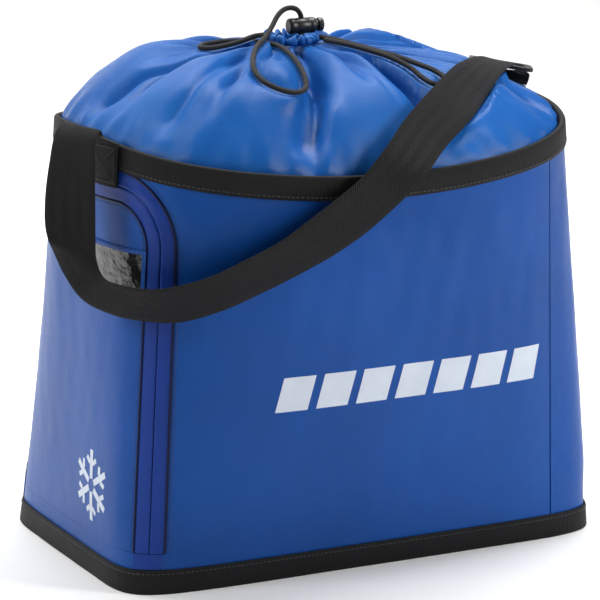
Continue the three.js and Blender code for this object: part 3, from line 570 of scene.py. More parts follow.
def arch_half_turn(distance):
    return corner_turn + (ARCH_RADIUS + distance) / M_PER_QUARTER


reach = arch_half_turn(10 * MM)
arch = wall_piece("arch_panel_cloth", -reach, reach, arch_line(10 * MM), under_binding, material=TARPAULIN)
cut = flat_cut(-reach, reach, arch_line(10 * MM), under_binding)
cloth(finish(arch, "bag", "tarpaulin", "arch_panel"), cut)
sill = wall_piece(
    "door_sill_cloth", -shell_edge + SEAM, shell_edge - SEAM, 2.8 * MM, 30.7 * MM,
    material=TARPAULIN, rippled=False,
)  # fmt: skip
cut = flat_cut(-shell_edge + SEAM, shell_edge - SEAM, 2.8 * MM, 30.7 * MM)
cloth(finish(sill, "bag", "tarpaulin", "door_sill"), cut)

# %% The door's cloth, from the sill up to the arch
door_reach = arch_half_turn(-10.5 * MM)
door_cloth = wall_piece(
    "door_panel_cloth", -door_reach, door_reach, 31 * MM, arch_line(-10.5 * MM), material=TARPAULIN
)  # fmt: skip
fold = float(wall(0.0, 31 * MM)[0])
finish(door_cloth, "door", "tarpaulin", "door_panel")
cloth(door_cloth, flat_cut(-door_reach, door_reach, 31 * MM, arch_line(-10.5 * MM)))
print("door cloth", len(door_cloth.data.polygons), "faces, folds at x", round(fold, 4))

# %% [markdown]
# ## Bindings
# A raw edge of laminated cloth frays, so it is bound: a ribbed tape is folded over the rim and sewn through,
# and a wider one wraps the bottom edge, where the bag is dragged. Each is a profile carried round the wall.
# The profile is given as pairs: how far above the edge, and how far outside the wall, in millimetres.


# %% Carry a profile round the bag
def bound_edge(name, outside, inside, height, turns=(0, 4), count=720):
    ring = turns == (0, 4)
    w = np.linspace(*turns, count, endpoint=not ring)[:, None]
    outside, inside = np.array(outside) * MM, np.array(inside) * MM
    edge = height(w)
    soft = 0.15 * MM * waves(wall(w, edge), 0.06, 21)
    outer = wall(w, edge + outside[:, 0], outside[:, 1] + soft)
    inner = wall(w, edge + inside[:, 0], inside[:, 1])
    across = np.concatenate([[0], np.cumsum(np.linalg.norm(np.diff(outside, axis=0), axis=1))])
    uv = np.stack(np.broadcast_arrays(w * M_PER_QUARTER, across[None, :]), -1)
    piece = grid_shell(name, outer, inner, uv, ring=ring, sharp=60)
    piece.data.materials.append(GROSGRAIN)
    return piece


RIM_OUTSIDE = [
    (-18.5, 0.5), (-18.3, 1.3), (-17.2, 1.7), (-9, 1.75), (-1.6, 1.7), (-0.4, 1.1), (0, -0.6),
    (-0.3, -2.2), (-1.4, -3.0), (-9, -3.1), (-18.4, -3.0),
]  # fmt: skip
RIM_INSIDE = [
    (-18.4, 0.35), (-18.0, 0.35), (-17, 0.35), (-9, 0.35), (-2, 0.35), (-1.5, 0.1), (-1.3, -0.6),
    (-1.5, -1.5), (-2, -1.9), (-9, -1.9), (-18.3, -1.9),
]  # fmt: skip
rim_tape = bound_edge("rim_binding_tape", RIM_OUTSIDE, RIM_INSIDE, rim_height)
finish(rim_tape, "bag", "binding", "rim_binding")
BASE_OUTSIDE = [(0.1, 0.4), (0.1, 1.1), (1.1, 1.6), (9, 1.65), (17.3, 1.6), (18.4, 1.2), (18.5, 0.5)]
BASE_INSIDE = [(0.3, 0.35), (0.6, 0.35), (2, 0.35), (9, 0.35), (16.5, 0.35), (17.8, 0.35), (18.3, 0.35)]
base_tape = bound_edge("base_band_tape", BASE_OUTSIDE, BASE_INSIDE, lambda w: w * 0.0)
finish(base_tape, "bag", "binding", "base_band")
print("bindings", rim_tape.name, base_tape.name)

# %% [markdown]
# ## The zip
# The zip runs up one corner of the end, over a round arch and down the other corner. Its teeth are on the
# inside, and what shows is a pair of folded tapes that meet over them, edged with dark piping. The path is
# worked out from the arch, and everything about the zip is placed by its distance from that path.


# %% The zip's path and its tapes
def zip_path(count, start=31 * MM, share=(0.0, 1.0)):
    """Turns, heights and the direction away from the door, at even steps along the zip."""
    leg = arch_foot - start
    bend = ARCH_RADIUS * math.pi / 2
    whole = 2 * (leg + bend + corner_turn * M_PER_QUARTER)
    run = np.linspace(share[0], share[1], count) * whole
    side = np.where(run > whole / 2, -1, 1)
    run = np.minimum(run, whole - run)
    angle = np.clip((run - leg) / ARCH_RADIUS, 0, math.pi / 2)
    beyond = np.maximum(0, run - leg - bend)
    w = corner_turn + (ARCH_RADIUS * np.cos(angle) - beyond) / M_PER_QUARTER
    z = start + np.minimum(run, leg) + ARCH_RADIUS * np.sin(angle)
    return w * side, z, np.cos(angle) * side, np.sin(angle)


def beside_zip(path, distance, out):
    w, z, aside, up = (part[:, None] for part in path)
    return wall(w + aside * distance / M_PER_QUARTER, z + up * distance, out)


def zip_strip(name, low, high, material, count=420):
    """A folded tape between two distances from the zip's centre line, highest beside the slit."""
    path = zip_path(count)
    distance = np.linspace(high, low, 16)[None, :]
    share = (np.abs(distance) - 0.3 * MM) / (10.6 * MM)
    crown = (0.5 + 1.1 * np.sqrt(np.clip(1 - share, 0, 1)) * np.clip(0.15 + share * 9, 0, 1) ** 0.5) * MM
    along = np.arange(count)[:, None] * 731 * MM / count
    uv = np.stack(np.broadcast_arrays(along, distance), -1)
    outer = beside_zip(path, distance, crown)
    inner = beside_zip(path, distance, -0.7 * MM)
    piece = grid_shell(name, outer, inner, uv)
    piece.data.materials.append(material)
    return piece


shell_tape = zip_strip("zip_tape_shell_fold", 0.3 * MM, 10.4 * MM, ZIP_TAPE)
finish(shell_tape, "bag", "zip_tape", "zip_tape_shell")
door_tape = zip_strip("zip_tape_door_fold", -10.9 * MM, -0.3 * MM, ZIP_TAPE)
finish(door_tape, "door", "zip_tape", "zip_tape_door")
for name, distance, body in (("piping_outer", 11.3 * MM, "bag"), ("piping_inner", -11.6 * MM, "door")):
    line = beside_zip(zip_path(360), distance, 0.45 * MM)[:, 0]
    piping = tube(name, line, 1.15 * MM, sides=10)
    piping.data.materials.append(PIPING)
    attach(piping, body)
print("zip tapes and piping made")

# %% The patches at the zip's feet
for name, side in (("zip_end_patch_front", 1), ("zip_end_patch_rear", -1)):
    edges = sorted([side * (ZIP_CENTRE - 0.037), side * (ZIP_CENTRE + 0.033)])
    patch = wall_piece(
        name + "_tape", *edges, 19.4 * MM, 30.5 * MM, out=1.2 * MM, thickness=0.9 * MM,
        material=ZIP_TAPE, rippled=False,
    )  # fmt: skip
    finish(patch, "bag", "zip_tape", name)

# %% [markdown]
# ## The gathered collar
# The collar is a sleeve of thin nylon sewn inside the rim and pulled shut at the top. Pulling the cord
# crowds all the cloth into a bunch, so folds radiate from the mouth. Near the mouth they are deep, narrow
# and many. Further out most of them die away, and only a few long ones reach towards the rim, with soft
# billows between them. Each fold here has its own place, depth and reach, drawn from a seeded generator.

# %% The dome and its folds
GATHER = np.array([-10, 0]) * MM
COLLAR_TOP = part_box("collar")[1][2]
COLLAR_INSET = 3.9 * MM
FOLDS = 30
rng = np.random.default_rng(12)
long_fold = np.arange(FOLDS) % 3 == 1
fold_turns = (np.arange(FOLDS) + rng.uniform(-0.3, 0.3, FOLDS)) * 4 / FOLDS
fold_reach = np.where(long_fold, rng.uniform(0.9, 1.1, FOLDS), rng.uniform(0.45, 0.8, FOLDS))
fold_depth = np.where(long_fold, rng.uniform(20, 28, FOLDS), rng.uniform(11, 18, FOLDS)) * MM
fold_lean = rng.uniform(-0.16, 0.16, FOLDS)


def collar_dome(w, share):
    """The billowed dome without folds: share runs from 0 at the mouth to 1 at the rim."""
    rim = wall(w, rim_height(w), -COLLAR_INSET)
    pressed = 22 * MM * np.maximum(0, np.cos((w - 1.6) * math.pi / 2)) * np.minimum(1, (share * 1.2) ** 2)
    top = COLLAR_TOP + 2 * MM - pressed
    foot = rim[..., 2] - 2 * MM
    lift = np.clip(1 - share**4, 0, 1) ** 0.8
    flat = GATHER + (rim[..., :2] - GATHER) * share[..., None]
    return np.concatenate([flat, (foot + (top - foot) * lift)[..., None]], -1)


def fold_field(w, share):
    """How far single folds sink the cloth, in metres."""
    radius = 0.19 * share + 0.012
    sink = np.zeros(w.shape)
    for turn, reach, depth, lean in zip(fold_turns, fold_reach, fold_depth, fold_lean):
        away = (np.mod(w - turn - lean * (share - 0.2) + 2, 4) - 2) * math.pi / 2 * radius
        width = (2.4 + 7.5 * share) * MM
        crease = np.exp((1.5 * MM - np.sqrt(away**2 + (3.2 * MM) ** 2)) / width)
        overhang = np.where(away * lean > 0, 1.0, np.exp(-np.abs(away) / (12 * MM)))
        length = rise(share, 0.0, 0.12) * (1 - rise(share, 0.6 * reach, reach))
        sink = np.maximum(sink, depth * crease * overhang * length * (0.5 + 0.8 * np.minimum(share, 0.6)))
    return sink


def valleys(w, share, count, seed):
    """Sharp valleys between rounded billows, from 0 on a billow to 1 in a valley, unevenly spaced."""
    rng = np.random.default_rng(seed)
    turn = w * math.pi / 2
    phase = turn * count
    depth = 0.62
    for k in (1, 2, 3, 5):
        phase = phase + rng.uniform(0.4, 0.9) * count / (6 * k) * np.sin(k * turn + rng.uniform(0, 6) + share)
        depth = depth + 0.16 * np.sin((k + 2) * turn + rng.uniform(0, 6))
    return depth * np.exp(-np.sqrt(np.sin(phase / 2 + 0.4 * share) ** 2 + 0.005) / 0.28)


SHARES = np.concatenate([np.linspace(0.035, 0.3, 30), np.linspace(0.31, 0.9, 52), np.linspace(0.91, 1, 12)])
turns = np.linspace(0, 4, 500, endpoint=False)
w, share = np.meshgrid(turns, SHARES[::-1], indexing="ij")
dome = collar_dome(w, share)
billow = (2.4 * waves(dome, 0.13, 31) + 0.9 * waves(dome, 0.045, 33)) * MM * rise(1 - share, 0, 0.25)
billow += 5 * MM * rise(share, 0.1, 0.45) * rise(1 - share, 0.02, 0.3)
sink = fold_field(w, share)
sink += 20 * MM * valleys(w, share, 9, 41) * rise(share, 0.12, 0.45) * rise(1 - share, 0.0, 0.14)
sink += 15 * MM * valleys(w, share, 21, 42) * rise(share, 0.05, 0.16) * rise(1 - share, 0.08, 0.6)
sink += 6 * MM * valleys(w, share, 44, 43) * rise(share, 0.02, 0.06) * rise(1 - share, 0.4, 0.85)
sink = (np.roll(sink, 1, axis=0) + 2 * sink + np.roll(sink, -1, axis=0)) / 4
sink[:, 1:-1] = (sink[:, :-2] + 2 * sink[:, 1:-1] + sink[:, 2:]) / 4
outward = np.cross(np.gradient(dome, axis=1), np.roll(dome, -1, axis=0) - np.roll(dome, 1, axis=0))
outward /= np.maximum(np.linalg.norm(outward, axis=-1, keepdims=True), 1e-9)
outward *= np.sign(outward[..., 2:].mean())
tilt = np.stack([outward[..., 0] * 0.45, outward[..., 1] * 0.45, np.ones(w.shape)], -1)
dome += (billow - sink)[..., None] * tilt
dome[..., 2] -= 9 * MM * np.exp(-((share / 0.07) ** 2))
pucker = 1.6 * MM * np.sin(w * math.pi / 2 * 46 + 2 * np.sin(w * 7)) * np.exp(-(((share - 0.985) / 0.06) ** 2))
dome[..., 2] += pucker
print("collar grid", dome.shape, "top", round(float(dome[..., 2].max()), 4))

# %% [markdown]
# ## The strap over it
# The strap is flat webbing, so it is given by its two edges. It hangs from the left end, turns under itself,
# sweeps up over the front and lies across the collar to the adjuster. Between its edges it cups slightly,
# as webbing does when it is bent sideways.

# %% The strap's two edges
STRAP_EDGES = [
    [(-196.5, -76, 333.5), (-202, -38, 333.5)], [(-199, -78, 338), (-212, -42, 340)],
    [(-204, -81, 332), (-221, -47, 334)], [(-206, -83, 308), (-229, -53, 312)],
    [(-207, -85, 285), (-234, -57, 290)], [(-208, -87, 262), (-237, -63, 271)],
    [(-208, -88, 247), (-237, -68, 261)], [(-207, -92, 239), (-232, -66, 251)],
    [(-206, -99, 235), (-225, -68, 234)], [(-203, -115, 234), (-218, -85, 218)],
    [(-195, -134, 234), (-204, -106, 210)], [(-186, -142, 234), (-187, -117, 206)],
    [(-174, -149, 236), (-163, -130, 205)], [(-152, -157, 242), (-136, -143, 213)],
    [(-126, -163, 253), (-106, -150, 225)], [(-99, -166, 265), (-76, -157, 239)],
    [(-80, -166, 276), (-53, -160, 250)], [(-58, -167, 290), (-30, -163, 264)],
    [(-36, -167, 305), (-5, -165, 283)], [(-15, -162, 323), (15, -167, 301)],
    [(11, -145, 341), (40, -152, 318)], [(45, -122, 357), (72, -132, 333)],
    [(80, -92, 367), (112, -92, 347)], [(110, -62, 367), (146, -54, 354)],
    [(138, -28, 362), (174, -22, 352)], [(153, -2, 357), (188, -12, 349)],
]  # fmt: skip
LEAD_EDGES = [
    [(190.5, 31, 332.5), (192.5, -7, 332.5)], [(187, 31, 336), (195, -6, 336)],
    [(175, 26, 341), (197, -4, 340)], [(166, 21, 344), (197, 1, 341.5)],
]  # fmt: skip


def webbing(name, edges, steps, cup=0.0, across=18, thickness=1.7 * MM):
    upper, lower = (through(np.array([pair[k] for pair in edges]) * MM, steps) for k in (0, 1))
    middle = (upper + lower) / 2
    ahead = np.gradient(middle, axis=0)
    face = np.cross(lower - upper, ahead)
    face /= np.linalg.norm(face, axis=1)[:, None]
    share = 0.5 - 0.5 * np.cos(np.linspace(0, 1, across) * math.pi)
    half = thickness / 2 * np.clip(1 - np.abs(2 * share - 1) ** 14, 0.25, 1)
    crown = cup * (1 - (2 * share - 1) ** 2)
    flat = upper[:, None] + (lower - upper)[:, None] * share[None, :, None]
    along = np.concatenate([[0], np.cumsum(np.linalg.norm(np.diff(middle, axis=0), axis=1))])
    width = float(np.median(np.linalg.norm(lower - upper, axis=1)))
    uv = np.stack(np.broadcast_arrays(along[:, None], share[None, :] * width), -1)
    outer = flat - face[:, None] * (half + crown)[None, :, None]
    inner = flat + face[:, None] * (half - crown)[None, :, None]
    piece = grid_shell(name, outer, inner, uv, sharp=50)
    piece.data.materials.append(WEBBING)
    print(name, "length", round(float(along[-1]), 3), "width", round(width, 4))
    return piece, flat


strap, strap_middle = webbing("shoulder_strap_webbing", STRAP_EDGES, 420, cup=0.5 * MM)
finish(strap, "strap", "webbing", "shoulder_strap")
lead, lead_middle = webbing("adjuster_lead_webbing", LEAD_EDGES, 40)
finish(lead, "bag", "webbing", "adjuster_lead")

# %% [markdown]
# ## Cloth under cords and straps
# The cords and the strap press into the collar, and the nylon billows up on both sides of them. The dome is
# therefore drawn towards the underside of each cord where they meet, and kept below both everywhere. It is
# also cut down along the path that the strap takes when it swings. That keeps the two apart, but it leaves a
# hard-edged notch across the back of the collar, which real cloth wouldn't have.

# %% Fit the dome under the cords, the strap and the lock
def fit_under(dome, points, clearance, pull_radius, contact_radius, most_lift):
    """Moves the dome towards the undersides of points that lie on it, and never lets it pass them."""
    flat = dome.reshape(-1, 3)
    for start in range(0, len(flat), 6000):
        part = flat[start : start + 6000]
        away = np.linalg.norm(part[:, None, :2] - points[None, :, :2], axis=2)
        near = away.argmin(axis=1)
        distance = away[np.arange(len(part)), near]
        target = points[near, 2] - clearance
        lift = target - part[:, 2]
        pull = np.exp(-((distance / pull_radius) ** 2)) * (lift < most_lift)
        part[:, 2] += lift * pull
        limits = np.where(away < contact_radius, points[None, :, 2] - clearance, np.inf).min(axis=1)
        part[:, 2] = np.minimum(part[:, 2], limits)
    return flat.reshape(dome.shape)


for line in cord_lines.values():
    resting = line[::2]
    dome = fit_under(dome, resting, CORD_RADIUS + 0.5 * MM, 8 * MM, 4.5 * MM, 11 * MM)
over_collar = np.concatenate([strap_middle[230:].reshape(-1, 3)[::3], lead_middle.reshape(-1, 3)[::3]])
dome = fit_under(dome, over_collar, 2.4 * MM, 3 * MM, 6 * MM, 5 * MM)
STRAP_HINGE, STRAP_AXIS = np.array([-0.197, -0.057, 0.336]), Vector((-0.9887, -0.1435, -0.0425))
SWING_STEP, SWING_LIMIT = 20, 140
for degrees in range(SWING_STEP, SWING_LIMIT + 1, SWING_STEP):
    turned_by = np.array(Matrix.Rotation(math.radians(degrees), 3, STRAP_AXIS))
    swung = (strap_middle[330:].reshape(-1, 3)[::5] - STRAP_HINGE) @ turned_by.T + STRAP_HINGE
    dome = fit_under(dome, swung, 2.6 * MM, 3 * MM, 7 * MM, -1)
barrel_low, barrel_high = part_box("lock_barrel")
around = np.hypot(dome[..., 0] - GATHER[0], dome[..., 1] - GATHER[1])
dome[..., 2] = np.where(around < 27 * MM, np.minimum(dome[..., 2], COLLAR_TOP), dome[..., 2])

foot = wall(turns, rim_height(turns) - 17 * MM, -COLLAR_INSET)
grid = np.concatenate([foot[:, None], dome], axis=1)
ahead = np.gradient(grid, axis=1)
beside = np.roll(grid, -1, axis=0) - np.roll(grid, 1, axis=0)
inward = -np.cross(beside, ahead)
inward /= np.maximum(np.linalg.norm(inward, axis=-1, keepdims=True), 1e-9)
run = np.concatenate([[0], np.cumsum(np.full(grid.shape[1] - 1, 0.19 / grid.shape[1]))])
uv = np.stack(np.broadcast_arrays(turns[:, None] * M_PER_QUARTER, run[None, :]), -1)
collar = grid_shell("collar_gathered", grid, grid + inward * 0.5 * MM, uv, ring=True, sharp=75)
collar.data.materials.append(COLLAR_NYLON)
finish(collar, "bag", "collar_nylon", "collar")

# %% The casing bunched round the mouth
count, sides = 300, 14
turn = np.linspace(0, 2 * math.pi, count, endpoint=False)[:, None]
angle = np.linspace(0, 2 * math.pi, sides, endpoint=False)[None, :]
ruffle = np.sin(turn * 15 + 1.4 * np.sin(turn * 4)) + 0.45 * np.sin(turn * 27 + 1)
lobes = 1.6 * np.sin(turn * 3 + 1) + 1.2 * ruffle
radius = 17 + lobes + (3.6 + 1.1 * ruffle) * np.cos(angle)
under_button = 1 - 0.45 * np.exp(-((np.mod(turn + math.pi, 2 * math.pi) - math.pi) / 0.7) ** 2)
height = np.where(np.sin(angle) > 0, (4.4 + 1.6 * ruffle) * under_button, 2.3) * np.sin(angle)
casing_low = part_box("drawcord_casing")[0][2]
points = np.stack(
    [
        GATHER[0] + radius * MM * np.cos(turn),
        GATHER[1] + radius * MM * np.sin(turn),
        casing_low + (2.6 + height) * MM + 0 * turn,
    ],
    -1,
)
i, j = np.meshgrid(np.arange(count), np.arange(sides), indexing="ij")
i2, j2 = (i + 1) % count, (j + 1) % sides
faces = np.stack([i * sides + j, i2 * sides + j, i2 * sides + j2, i * sides + j2], -1).reshape(-1, 4)
uv = np.stack(np.broadcast_arrays(turn * 17 * MM, angle * 3 * MM), -1).reshape(-1, 2)
casing = new_piece("drawcord_casing_ruffle", points.reshape(-1, 3), faces, uv, sharp=80)
casing.data.materials.append(COLLAR_NYLON)
finish(casing, "bag", "collar_nylon", "drawcord_casing")
print("casing", casing.name)

# %% [markdown]
# ## Strap tabs, window and prints
# These are flat pieces sewn or printed on the wall, so they use the wall function with a small offset. The
# printed marks are plain: a row of slanted bars on the front and a six-armed snow crystal on the door.

# %% Strap tabs
for name, start, end in (("strap_tab_left", 0.125, 0.258), ("strap_tab_right", 1.98, 2.11)):
    tab = wall_piece(
        name + "_webbing", start, end, 295 * MM, lambda w: rim_height(w) + 1 * MM, out=3.7 * MM,
        thickness=1.7 * MM, material=WEBBING, rippled=False,
    )  # fmt: skip
    finish(tab, "bag", "webbing", name)

# %% The card window
WINDOW = (0.075, 0.352, 207 * MM, 251 * MM)
window = wall_piece(
    "card_window_film", *WINDOW, out=1.5 * MM, thickness=0.5 * MM, material=SMOKED_FILM, step=1.5 * MM, rippled=False
)  # fmt: skip
finish(window, "door", "clear_film", "card_window")
w_from, w_to, z_low, z_high = WINDOW
border = 2.2 * MM / M_PER_QUARTER
for k, strip in enumerate(
    (
        (w_from - border, w_to + border, z_high - 1 * MM, z_high + 2 * MM),
        (w_from - border, w_to + border, z_low - 2 * MM, z_low + 1 * MM),
        (w_from - border, w_from + border / 2, z_low + 1 * MM, z_high - 1 * MM),
        (w_to - border / 2, w_to + border, z_low + 1 * MM, z_high - 1 * MM),
    )
):
    edge = wall_piece(
        f"window_edge_{k}", *strip, out=2.0 * MM, thickness=1.6 * MM, material=TARPAULIN, step=1 * MM, rippled=False
    )
    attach(edge, "door")
print("window edges sewn")


# %% Printed marks
def printed(name, patches, body, steps=12):
    """A print made of thin patches, each between four corners (w, z), anticlockwise from the lower left."""
    pieces = []
    for patch in patches:
        a, b, c, d = (np.array(corner, float) for corner in patch)
        u, v = np.meshgrid(np.linspace(0, 1, steps), np.linspace(0, 1, steps), indexing="ij")
        u, v = u[..., None], v[..., None]
        place = (a * (1 - u) + b * u) * (1 - v) + (d * (1 - u) + c * u) * v
        w, z = place[..., 0], place[..., 1]
        stand = ripple(w, z)
        uv = np.stack([w * M_PER_QUARTER, z], -1)
        pieces.append(grid_shell(name, wall(w, z, stand + 0.22 * MM), wall(w, z, stand + 0.02 * MM), uv))
        pieces[-1].data.materials.append(PRINT)
    with bpy.context.temp_override(active_object=pieces[0], selected_editable_objects=pieces):
        bpy.ops.object.join()
    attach(pieces[0], body)
    return pieces[0]


BARS, BAR_GAP, BAR_LEAN = 7, 7 * MM, 6 * MM
mark_from, mark_to, mark_low, mark_high = 0.70, 1.46, 131 * MM, 157 * MM
pitch = (mark_to - mark_from) / BARS
lean = BAR_LEAN / M_PER_QUARTER
bars = []
for k in range(BARS):
    left, right = mark_from + k * pitch, mark_from + (k + 1) * pitch - BAR_GAP / M_PER_QUARTER
    bars.append([(left, mark_low), (right, mark_low), (right + lean, mark_high), (left + lean, mark_high)])
printed("front_mark_bars", bars, "bag")


def bar_between(start, end, half_width, centre):
    """The four corners (w, z) of a bar between two flat points in metres."""
    start, end = np.array(start), np.array(end)
    along = (end - start) / np.linalg.norm(end - start)
    side = np.array([-along[1], along[0]]) * half_width
    flat = [start - side, end - side, end + side, start + side]
    return [(centre[0] + p[0] / M_PER_QUARTER, centre[1] + p[1]) for p in flat]


CRYSTAL_CENTRE = (0.165, 68 * MM)
crystal = []
for k in range(6):
    angle = math.radians(90 + 60 * k)
    arm = np.array([math.cos(angle), math.sin(angle)])
    crystal.append(bar_between(arm * 5 * MM, arm * 27 * MM, 2.4 * MM, CRYSTAL_CENTRE))
    for turn_by in (-55, 55):
        a = angle + math.radians(turn_by)
        twig = np.array([math.cos(a), math.sin(a)])
        root = arm * 15 * MM + twig * 3.2 * MM
        crystal.append(bar_between(root, root + twig * 6.5 * MM, 1.8 * MM, CRYSTAL_CENTRE))
printed("snow_crystal", crystal, "door", steps=8)
print("marks printed")

# %% [markdown]
# ## Stitches
# A lockstitch shows as a row of short raised dashes. A Geometry Nodes tree lays them: it resamples a curve
# at the stitch pitch, puts a small spindle on each point and turns it along the curve. Each seam is one
# curve and one use of the tree, and the result is turned into a plain mesh.


# %% The lockstitch tree
def lockstitch_tree():
    tree = bpy.data.node_groups.new("lockstitch_row", "GeometryNodeTree")
    tree.interface.new_socket("Geometry", in_out="INPUT", socket_type="NodeSocketGeometry")
    for name in ("Stitch pitch", "Stitch length", "Thread radius"):
        tree.interface.new_socket(name, in_out="INPUT", socket_type="NodeSocketFloat")
    tree.interface.new_socket("Thread", in_out="INPUT", socket_type="NodeSocketMaterial")
    tree.interface.new_socket("Geometry", in_out="OUTPUT", socket_type="NodeSocketGeometry")
    given = tree.nodes.new("NodeGroupInput").outputs
    even = add_node(tree, "GeometryNodeResampleCurve", {"Curve": given["Geometry"]}, mode="LENGTH")
    tree.links.new(given["Stitch pitch"], even.inputs["Length"])
    spindle = add_node(tree, "GeometryNodeMeshUVSphere", {"Segments": 6, "Rings": 4, "Radius": 1.0})
    half = math_node(tree, "MULTIPLY", given["Stitch length"], 0.5)
    size = add_node(
        tree, "ShaderNodeCombineXYZ", {0: given["Thread radius"], 1: given["Thread radius"], 2: half}
    ).outputs[0]
    tangent = add_node(tree, "GeometryNodeInputTangent", {}).outputs[0]
    turn = add_node(tree, "FunctionNodeAlignRotationToVector", {"Vector": tangent}, axis="Z").outputs[0]
    row = add_node(
        tree, "GeometryNodeInstanceOnPoints",
        {"Points": even.outputs[0], "Instance": spindle.outputs["Mesh"], "Rotation": turn, "Scale": size},
    )  # fmt: skip
    real = add_node(tree, "GeometryNodeRealizeInstances", {0: row.outputs[0]})
    done = add_node(tree, "GeometryNodeSetMaterial", {"Geometry": real.outputs[0], "Material": given["Thread"]})
    tree.links.new(done.outputs[0], tree.nodes.new("NodeGroupOutput").inputs[0])
    return tree


LOCKSTITCH = lockstitch_tree()


def stitch(name, line, body, thread, pitch=3.6 * MM, length=2.7 * MM, radius=0.42 * MM):
    """A row of stitches along a line of points."""
    curve = bpy.data.curves.new(name + "_line", "CURVE")
    curve.dimensions = "3D"
    spline = curve.splines.new("POLY")
    spline.points.add(len(line) - 1)
    spline.points.foreach_set("co", np.hstack([line, np.ones((len(line), 1))]).ravel())
    row = bpy.data.objects.new(name + "_line", curve)
    bpy.context.scene.collection.objects.link(row)
    modifier = row.modifiers.new("stitches", "NODES")
    modifier.node_group = LOCKSTITCH
    sockets = {s.name: s.identifier for s in LOCKSTITCH.interface.items_tree if s.in_out == "INPUT"}
    for label, value in (("Stitch pitch", pitch), ("Stitch length", length), ("Thread radius", radius)):
        modifier[sockets[label]] = value
    modifier[sockets["Thread"]] = thread
    evaluated = row.evaluated_get(bpy.context.evaluated_depsgraph_get())
    mesh = bpy.data.meshes.new_from_object(evaluated)
    bpy.data.objects.remove(row)
    mesh.polygons.foreach_set("use_smooth", [True] * len(mesh.polygons))
    piece = bpy.data.objects.new(name, mesh)
    bpy.context.scene.collection.objects.link(piece)
    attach(piece, body)
    return piece


# %% Sew the rows
around = np.linspace(0.001, 3.999, 1200)
rim_line = wall(around, rim_height(around) - 15.8 * MM, 1.85 * MM)
rim_row = stitch("stitches_rim", rim_line, "bag", BLACK_THREAD)
stitch("stitches_base", wall(around, 15.6 * MM, 1.75 * MM), "bag", BLACK_THREAD)
for k, (distance, body) in enumerate(((14.5 * MM, "bag"), (-14.8 * MM, "door"))):
    path = zip_path(700, share=(0.006, 0.994))
    line = beside_zip(path, distance, 0.25 * MM)[:, 0]
    stitch(f"stitches_zip_{k}", line, body, THREAD, pitch=3.2 * MM, length=2.4 * MM, radius=0.35 * MM)
for k, z in enumerate((z_high + 0.6 * MM, z_low - 0.6 * MM)):
    line = wall(np.linspace(w_from - border / 2, w_to + border / 2, 60), z, 2.15 * MM)
    stitch(f"stitches_window_{k}", line, "door", THREAD, pitch=3 * MM, length=2.2 * MM, radius=0.32 * MM)
for name, start, end in (("left", 0.125, 0.258), ("right", 1.98, 2.11)):
    inset = 3 * MM / M_PER_QUARTER
    z_tab = 298 * MM
    top = float(rim_height((start + end) / 2)) - 5 * MM
    box = [(start + inset, z_tab), (end - inset, z_tab), (end - inset, top), (start + inset, top)]
    box += [box[0], box[2], box[1], box[3]]
    corners = np.array([p for a, b in zip(box, box[1:]) for p in np.linspace(a, b, 24)])
    line = wall(corners[:, 0], corners[:, 1], 3.9 * MM)
    stitch(f"stitches_tab_{name}", line, "bag", BLACK_THREAD, pitch=3 * MM, length=2.2 * MM)
print("rim stitches", len(rim_row.data.polygons) // 24)

# %% [markdown]
# ## The cord lock, the adjuster and the slider
# These are moulded or cast. A real moulding has no sharp edge, because the tool can't cut one, so each
# is given a small radius, which is what catches the light. The barrel and the plunger are turned shapes,
# the plunger with flutes for the fingers, and the rest start from the frame's own solid, with its edges rounded.


# %% Turned pieces
def turned(name, profile, centre, sides=48, flutes=None):
    """A shape turned about a line along X. The profile is (radius, place along X) in millimetres."""
    profile = np.array(profile, float) * MM
    angle = np.linspace(0, 2 * math.pi, sides, endpoint=False)
    radius = np.repeat(profile[:, 0][:, None], sides, axis=1)
    if flutes:
        number, depth, start, end = flutes
        inside = (profile[:, 1] > start * MM) & (profile[:, 1] < end * MM)
        radius[inside] -= depth * MM * (0.5 + 0.5 * np.cos(angle * number))[None, :]
    points = np.stack(
        [
            centre[0] + np.repeat(profile[:, 1][:, None], sides, axis=1),
            centre[1] + radius * np.cos(angle),
            centre[2] + radius * np.sin(angle),
        ],
        -1,
    ).reshape(-1, 3)
    i, j = np.meshgrid(np.arange(len(profile) - 1), np.arange(sides), indexing="ij")
    n = (j + 1) % sides
    faces = np.stack([i * sides + j, i * sides + n, (i + 1) * sides + n, (i + 1) * sides + j], -1).reshape(-1, 4)
    faces = [list(f)[::-1] for f in faces]
    last = (len(profile) - 1) * sides
    faces.append(list(range(sides)))
    faces.append([last + k for k in range(sides)][::-1])
    piece = new_piece(name, points, faces, None, sharp=35)
    if signed_volume(piece) < 0:
        piece.data.flip_normals()
    return piece


def signed_volume(piece):
    """The volume inside a closed mesh: negative when its faces point inwards."""
    mesh = piece.data
    mesh.calc_loop_triangles()
    points = np.array([v.co for v in mesh.vertices])
    corners = np.array([t.vertices for t in mesh.loop_triangles])
    a, b, c = (points[corners[:, k]] for k in range(3))
    return float((a * np.cross(b, c)).sum() / 6)


